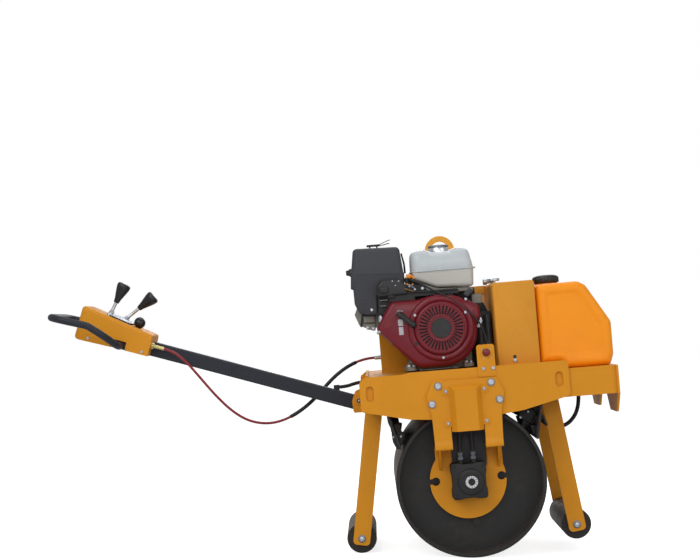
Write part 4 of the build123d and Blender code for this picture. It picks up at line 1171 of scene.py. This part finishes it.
def control_box():
    """Folded box on the beam's end. Its side outline (u, v) is carried across (w) and drawn in near
    each side only along the bends, with the loop's notch cut in both side walls."""
    half, wall, notch = 101.5, 18, (827, 876)
    rows = np.array([
        (745.5, -36.5, 3), (notch[0], -36.5, 1), (notch[0], -8, 4), (notch[1], -8, 4),
        (notch[1], -37, 1), (1008, -40.5, 12), (1006, 79.5, 12), (745.5, 39.5, 8),
    ])
    bends = np.zeros((8, 3))                        # which way the last three corners draw in
    bends[5:, :2] = (-1, 0), (-1, -1), (0, -1)
    shut = rows.copy()                              # between the walls nothing is cut out
    shut[2:4] = (notch[0] + 5, -36.5, 0), (notch[1] - 5, -37, 0)
    shut[[1, 4], 2] = 0
    side = [(shut, half - wall), (rows, half - wall)]
    side += [(rows + inset * bends, w) for inset, w in quarter(half, 15, 0, 9)]
    shell = stacked([(outline, -w) for outline, w in side[::-1]] + side)
    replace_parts(piece("control_box_shell", shell, "yellow", "handle", 50, held), "control_box")
    # dark plates on the notch's back walls: painted shade in the notch where the loop enters the
    # box
    dark = pad(frame_rows(notch, (-36.5, -8), 3), half - wall - 1, half - wall + 0.8, 0.2)
    piece("loop_notch_shade", both_sides(dark), "plastic", "handle", 32, held)

    slope = atan2(BOX_RISE, BOX_RUN)
    tilt = [(cos(slope), 0, -sin(slope)), (0, 1, 0), (sin(slope), 0, cos(slope))]
    at = (BOX_FOOT, 0, 39.4)
    plate = pad(frame_rows((84, 174), (-78, 78), 6), 4.5, 6.7, 0.8, TOP)
    # the first pad, a dark layer just under the gate plate, is painted shadow along the plate's
    # edges; the other two are the levers' slots
    slots = [pad(frame_rows((90, 162), (-76, 77), 3), 0, 4.8, 0.3, TOP)]
    for rear, front, w in ((92, 158, -45), (116, 170, 45)):
        slots.append(pad(frame_rows((rear, front), (w - 5, w + 5), 5), 6.3, 7.2, 0.3, TOP))
    piece("lever_gate", moved(plate, tilt, at), "zinc", "handle", 32, held)
    piece("lever_slots_and_gate_shadow", moved(joined(*slots), tilt, at), "plastic", "handle", 32, held)
    screws = [
        stamped(HEX_BOLT, [(960, side * half, -27), (769, side * half, -26)], (0, side, 0), 4.4)
        for side in (-1, 1)
    ]
    corners = [(u, w, 6.7) for u in (90, 168) for w in (-70, 70)]
    screws.append(moved(stamped(SCREW, corners, UP, 4), tilt, at))
    piece("control_box_screws", joined(*screws), "zinc", "handle", 32, held)


# ---- frame, drum and what hangs on them ----
def frame_bolts():
    """Bolts of the forks and hose guards on both sides, of the stop bracket, and the pivot's cap,
    the dark ring of painted shade round its bolt, and the bolt."""
    fork = [(x, 0, z) for x, z in ((-87, 326), (87, 326), (-111, 268), (111, 268))]
    guard = [(x, 0, z) for x in (-63, 63) for z in (202, 307)]
    # the washers wear the darker washer plating: partly painted shade round each bolt head
    for name, template, finish in (("bolts", HEX_BOLT, "zinc"), ("washers", WASHER, "washer")):
        large = bolts("drum_forks", fork, RIGHT, 9.3, template)
        little = bolts("hose_guards", guard, RIGHT, 4.4, template)
        piece("frame_" + name, both_sides(joined(large, little)), finish)
    pair = [(66.5, 0, 371.8), (99.1, 0, 371.6)]
    tiny = [(67, 0, 436), (94.5, 0, 435), (70, 0, 407), (96, 0, 406.5)]
    bracket = joined(
        bolts("stop_switch_bracket", pair, RIGHT, 5.2),
        bolts("stop_switch_bracket", tiny, RIGHT, 2.4, SCREW),
    )
    piece("stop_bracket_bolts", bracket, "zinc")
    ear = level_box("pivot_pin")[0][1]
    x, _, z = middle("pivot_pin")
    cap = turned((x, ear + 2, z), RIGHT, [(0, 14.5), (2.6, 14.5), (3.2, 13.8), (3.2, 9)], 40)
    # dark ring round the pivot bolt: painted shade of the recess the bolt sits in
    ring = turned((x, ear, z), RIGHT, [(0, 8.2), (1.5, 8.2), (1.5, 5)], 32)
    piece("pivot_caps", both_sides(cap), "yellow")
    piece("pivot_recess_shade", both_sides(ring), "plastic")
    piece("pivot_bolts", both_sides(stamped(HEX_BOLT, [(x, ear - 1.5, z)], RIGHT, 3.6)), "zinc")


def roller_axles():
    """Axles through the support rollers, with a washer and nut on each end."""
    parts, washers = [], []
    leg = level_box("stand_legs")[0][1]
    for joint in ("rear_roller_spin", "front_roller_spin"):
        x, _, z = level(joint_place(joint))
        parts.append(turned((x, leg - 1, z), LEFT, [(0, 9), (2 - 2 * leg, 9)], 24))
        # washers in the darker washer plating: partly painted shade round each nut
        washers.append(turned((x, leg, z), RIGHT, [(0, 13), (1.4, 13), (1.8, 12.2)], 36))
        nut = turned((x, leg - 1.6, z), RIGHT, [(0, 9.4), (5, 9.4), (6, 8.2), (6, 5.4)], 6)
        tip = turned((x, leg - 6, z), RIGHT, [(0, 5.2), (2.4, 5.2), (3, 4.2)], 20)
        parts.append(both_sides(joined(nut, tip)))
    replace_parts(piece("roller_axle_set", joined(*parts), "zinc"), "roller_axles")
    piece("roller_axle_washers", both_sides(joined(*washers)), "washer")


def roller_ends():
    """Turned rim and hub on both ends of each support roller."""
    for body in ("rear_roller", "front_roller"):
        low, high = level_box(body)
        x, _, z = level(joint_place(body + "_spin"))
        radius = (high[2] - low[2]) / 2
        rim = [(-1, -1.5), (0.8, -2), (1.2, -3), (1.2, -5.5), (0, -6.5), (-1, -6.5)]
        hub = [(0, 20), (1.4, 20), (1.8, 19), (1.8, 11)]
        face = (x, low[1], z)
        parts = joined(
            turned(face, RIGHT, [(along, radius + step) for along, step in rim], 72, loop=True),
            turned(face, RIGHT, hub, 48),
        )
        piece(body + "_ends", both_sides(parts), "roller", body)


def stop_button():
    """Mushroom button on its collar, both turned."""
    x, _, z = middle("stop_button")
    face = (x, level_box("stop_button")[1][1], z)
    collar = turned(face, RIGHT, [(-1, 12.6), (1.6, 12.6), (2.4, 11.6), (2.4, 8)], 40)
    piece("stop_button_collar", collar, "black_steel")
    knob = turned(
        face, RIGHT, [(1, 8), (6, 8), (7, 11.2), (10.5, 11.6), (12.6, 10), (14, 5.5)], 40
    )
    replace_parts(piece("stop_button_knob", knob, "button", angle=50), "stop_button")


def pump_guard():
    """Dark plate behind the upright pump hoses."""
    rows = [(47, 372, 2), (117, 372, 2), (117, 560, 4), (104, 592, 8), (62, 592, 8), (47, 560, 4)]
    piece("pump_guard_plate", pad(rows, -50, -54, 1), "valve_block")


def fork_bends():
    """Rounded bend where each fork leg turns in to its shelf, a little proud of the plates' corner:
    one outline (y, z) carried across the leg's width."""
    proud = 2.6
    _, out, low = level_box("drum_forks")[0]
    under = low + out - level_box("side_plate_right")[0][1]
    rows = [
        (out + 4, low + 20, 0.5), (out - 0.1, low + 20, 1), (out - proud, low + 4, 12),
        (out - proud, under - proud, 8.6), (out + 26, under - 0.2, 1), (out + 26, under + 4, 0.5),
    ]
    legs = [pad(rows, a, b, 0.8, END, base=0.8) for a, b in ((-112.6, -54.4), (54.4, 112.6))]
    piece("fork_leg_bends", both_sides(joined(*legs)), "yellow", angle=50)


def drive_motor():
    """Wheel motor of the drum: a cast body with a lobe at each corner, a ported cover, and hose
    unions on top. Its outline is one lobed corner turned four times."""
    low = level_box("drive_motor")[0]
    face = low[1] + 11
    corner = np.array([(56, 16, 8), (59.5, 30, 6), (59.5, 59.5, 12), (30, 59.5, 6), (16, 56, 8)])
    turn = np.array([(0, 1, 0), (-1, 0, 0), (0, 0, 1)])
    rows = [corner]
    for _ in range(3):
        rows.append(rows[-1] @ turn)
    rows = np.concatenate(rows) * (1, 1.03, 1) + (-7, 4.5, 0)
    levels = [(0, -290), (0, -303), (1, -305), (2.4, -307), (2.4, -333), (1, -335), (0.8, -337)]
    body = drawn_in(rows, levels + quarter(face, -3, 0.8))
    cover = [(-1, 44), (2, 44), (5, 42), (6, 39), (6, 24), (8, 22)]
    stub = [(0, 12), (12, 12), (14, 9.5), (24, 9), (25, 7)]
    nut = [(0, 8.6), (1, 9.8), (10, 9.8), (11, 8.6)]
    crimp = [(0, 7), (5, 7), (6, 8.6), (16, 8.6), (17, 7)]
    parts, unions = [body, turned((-2, face, 1), RIGHT, cover, 64)], []
    for x in (-30, 13):
        parts.append(turned((x, -330, 50), UP, stub, 28))
        unions += [turned((x, -330, 74), UP, nut, 6), turned((x, -330, 85), UP, crimp, 6)]
    made = piece("drive_motor_body", joined(*parts), "black_steel", angle=40)
    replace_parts(made, "drive_motor")
    port, height, circle = low[1], 1, 16.4
    rim = [(0, 21), (2, 21), (3, 20), (3, 12.5), (2, 11.5), (0, 11.5)]
    piece("motor_port_ring", turned((0, port, height), RIGHT, rim, 48, loop=True), "chrome")
    spots = np.linspace(0, 2 * pi, 12, endpoint=False)
    dots = [(circle * cos(a), port - 3, height + circle * sin(a)) for a in spots]
    piece("motor_ring_dots", stamped(SCREW, dots, RIGHT, 1.5), "black_steel")
    piece("motor_unions", joined(*unions), "washer")
    caps = [(x, face, z) for x in (-55, 41) for z in (-45, 54)]
    piece("motor_cap_screws", stamped(SCREW, caps, RIGHT, 6), "plastic")
    # black plates between the fork arms above the motor: painted shade over the hoses behind the
    # guards
    fork_gap_plate = pad([(-57, 48, 3), (58, 48, 3), (60, 178, 3), (-57, 182, 3)], -297, -302, 2)
    piece("fork_gap_shade_plates", both_sides(fork_gap_plate), "plastic")


def scraper_gear():
    """Slotted links, adjusters and clamp blocks of the scrapers and spray bar, on both sides: flat
    outlines with rounded edges, and a bent rod."""
    link = [(-263, 238, 3), (-249, 236, 3), (-238, 196, 4), (-247, 181, 4), (-260, 214, 3)]
    block = [
        (-244, 206, 4), (-220, 211, 4), (-216, 180, 3), (-206, 178, 3), (-210, 158, 3),
        (-231, 122, 4), (-239, 128, 4), (-249, 150, 4), (-251, 174, 4),
    ]
    front = [(173, 198, 4), (182, 227, 4), (226, 227, 4), (238, 204, 4), (214, 172, 6)]
    lower = [(208, 172, 4), (239, 168, 4), (237, 128, 5), (217, 136, 5)]
    dark = [
        pad(outline, inner, outer, edge, base=edge) for outline, inner, outer, edge in (
            (link, -312, -320, 1.5), (block, -272, -318, 3), (front, -262, -300, 4),
            (lower, -268, -314, 4),
        )
    ]
    dark.append(swept([(236, -298, 216), (250, -302, 206), (259, -304, 187), (266, -305, 164)], 5))
    piece("scraper_links", both_sides(joined(*dark)), "black_steel")
    slot = pad([(-258, 231, 1), (-253, 230, 1), (-247, 214, 1), (-252, 212, 1)], -319, -321, 0.4)
    piece("link_slots", both_sides(slot), "casting")
    plunger = [(0, 6), (1, 8.6), (24, 9), (32, 7.5), (33, 5)]
    adjuster = turned((-239, -322, 208), (10, 0, -30), plunger, 24)
    piece("scraper_adjusters", both_sides(adjuster), "roller")
    heads = [(-245.5, -318, 166.6), (-221.4, -318, 166.3), (182, -300, 197), (209, -300, 215)]
    piece("scraper_bolts", both_sides(stamped(HEX_BOLT, heads, RIGHT, [3.4, 3.4, 4, 3.4])), "zinc")


def weld(start, end):
    """Weld bead: a straight tube whose radius swells once in every pitch."""
    radius, pitch = 2.6, 5.5
    start, end = np.array(start, float), np.array(end, float)
    length = np.linalg.norm(end - start)
    at = np.linspace(0, length, max(8, int(length / pitch * 4)))
    line = spaced(np.array([start, end]), (0, length), at)
    return swept(line, radius * (1 + 0.16 * np.cos(2 * pi * at / pitch)), 8)


def welds():
    """Beads where the flat frame plates meet, upright on both sides and along the foot of the
    lifting post and eye."""
    plate = level_box("side_plate_right")[0][1]
    nose = level_box("front_plate")[0][0] - 1
    seams = [
        weld((x, plate + step, 262), (x, plate + step, 345)) for x, step in ((346, 9), (nose, 12))
    ]
    seams.append(weld((-323, -60, 290), (-323, -60, 326)))
    beads = [both_sides(joined(*seams))]
    for node, stands_on, inset in (("lifting_post", "deck", 0), ("lifting_eye", "lifting_beam", 4)):
        (rear, right, _), (front, left, _) = level_box(node)
        z = level_box(stands_on)[1][2] + 1
        beads += [weld((rear + inset, y, z), (front - inset, y, z)) for y in (left, right)]
    piece("frame_welds", joined(*beads), "yellow", angle=180)


# ---- camera, light and floor ----
def studio():
    """Camera square to the machine's right side, soft boxes, a white sky and a pale floor."""
    scene = bpy.context.scene
    lens = bpy.data.cameras.new("camera")
    lens.lens = 97.7                                # millimetres
    camera = bpy.data.objects.new("camera", lens)
    camera.location = (0.1458, -6.65, 0.7825)
    pitch, roll, yaw = 91.236, 0, 0.663             # degrees: from straight down, and to the left
    camera.rotation_euler = (radians(pitch), roll, radians(yaw))
    scene.collection.objects.link(camera)
    scene.camera = camera
    # columns: name, watts, width, height, place, height of the spot over the origin it faces
    for name, watts, width, height, at, spot in (
        ("front_light", 34, 2.8, 1.5, (0.5, -6.2, 2.0), 0.4),
        ("key_light", 92, 3.6, 2.4, (-2.2, -4.2, 3.6), 0.5),
        ("fill_light", 30, 3.0, 3.0, (3.4, -3.6, 2.2), 0.5),
        ("top_light", 45, 3.4, 3.4, (0.2, 0.6, 4.2), 0.5),
        ("back_light", 40, 3.0, 2.0, (0.6, 4.0, 2.6), 0.6),
    ):
        lamp = bpy.data.lights.new(name, "AREA")
        lamp.energy, lamp.shape, lamp.size, lamp.size_y = watts, "RECTANGLE", width, height
        light = bpy.data.objects.new(name, lamp)
        light.location = at
        aim = Vector((0, 0, spot)) - Vector(at)
        light.rotation_euler = aim.to_track_quat("-Z", "Y").to_euler()
        scene.collection.objects.link(light)

    # the sky lights the machine less than the camera sees it
    world = bpy.data.worlds.new("studio")
    world.use_nodes = True
    sky, links = world.node_tree.nodes, world.node_tree.links
    lit, seen = sky["Background"], sky.new("ShaderNodeBackground")
    for background, strength in ((lit, 0.42), (seen, 1.0)):
        background.inputs["Color"].default_value = (1, 1, 1, 1)
        background.inputs["Strength"].default_value = strength
    paths, choice = sky.new("ShaderNodeLightPath"), sky.new("ShaderNodeMixShader")
    for output, target in (
        (paths.outputs["Is Camera Ray"], choice.inputs[0]), (lit.outputs[0], choice.inputs[1]),
        (seen.outputs[0], choice.inputs[2]),
        (choice.outputs[0], sky["World Output"].inputs["Surface"]),
    ):
        links.new(output, target)
    scene.world = world
    scene.view_settings.view_transform = "Standard"

    reach = 30                                      # metres
    mesh = bpy.data.meshes.new("floor")
    corners = [(-reach, -reach, 0), (reach, -reach, 0), (reach, reach, 0), (-reach, reach, 0)]
    mesh.from_pydata(corners, [], [(0, 1, 2, 3)])
    floor = bpy.data.objects.new("floor", mesh)
    scene.collection.objects.link(floor)
    ground = Finish("floor_paper", Roughness=0.8, Specular_IOR_Level=0.1)
    glow = ground.node("ShaderNodeLightPath", output="Is Camera Ray")
    ground.set(
        Base_Color=ground.films(shade((216, 216, 216)), (shade((220, 220, 220)), ground.noise(3))),
        Emission_Color=(1, 1, 1, 1), Emission_Strength=0.8 * glow,
    )
    mesh.materials.append(ground.material)


finish_nodes()
studio()
for make in (
    control_cable, beam_conduit, water_hose, fan_shroud, starter_grip, fuel_tank, fuel_tank_trim,
    air_cleaner, air_cleaner_trim, cylinder_head_trim, governor, crankcase_cover, pump_trim,
    muffler_trim, engine_feet, water_tank, hydraulic_tank, control_levers, throttle_ball,
    control_box, frame_bolts, roller_axles, roller_ends, stop_button, pump_guard, fork_bends,
    drive_motor, scraper_gear, welds,
):
    make()
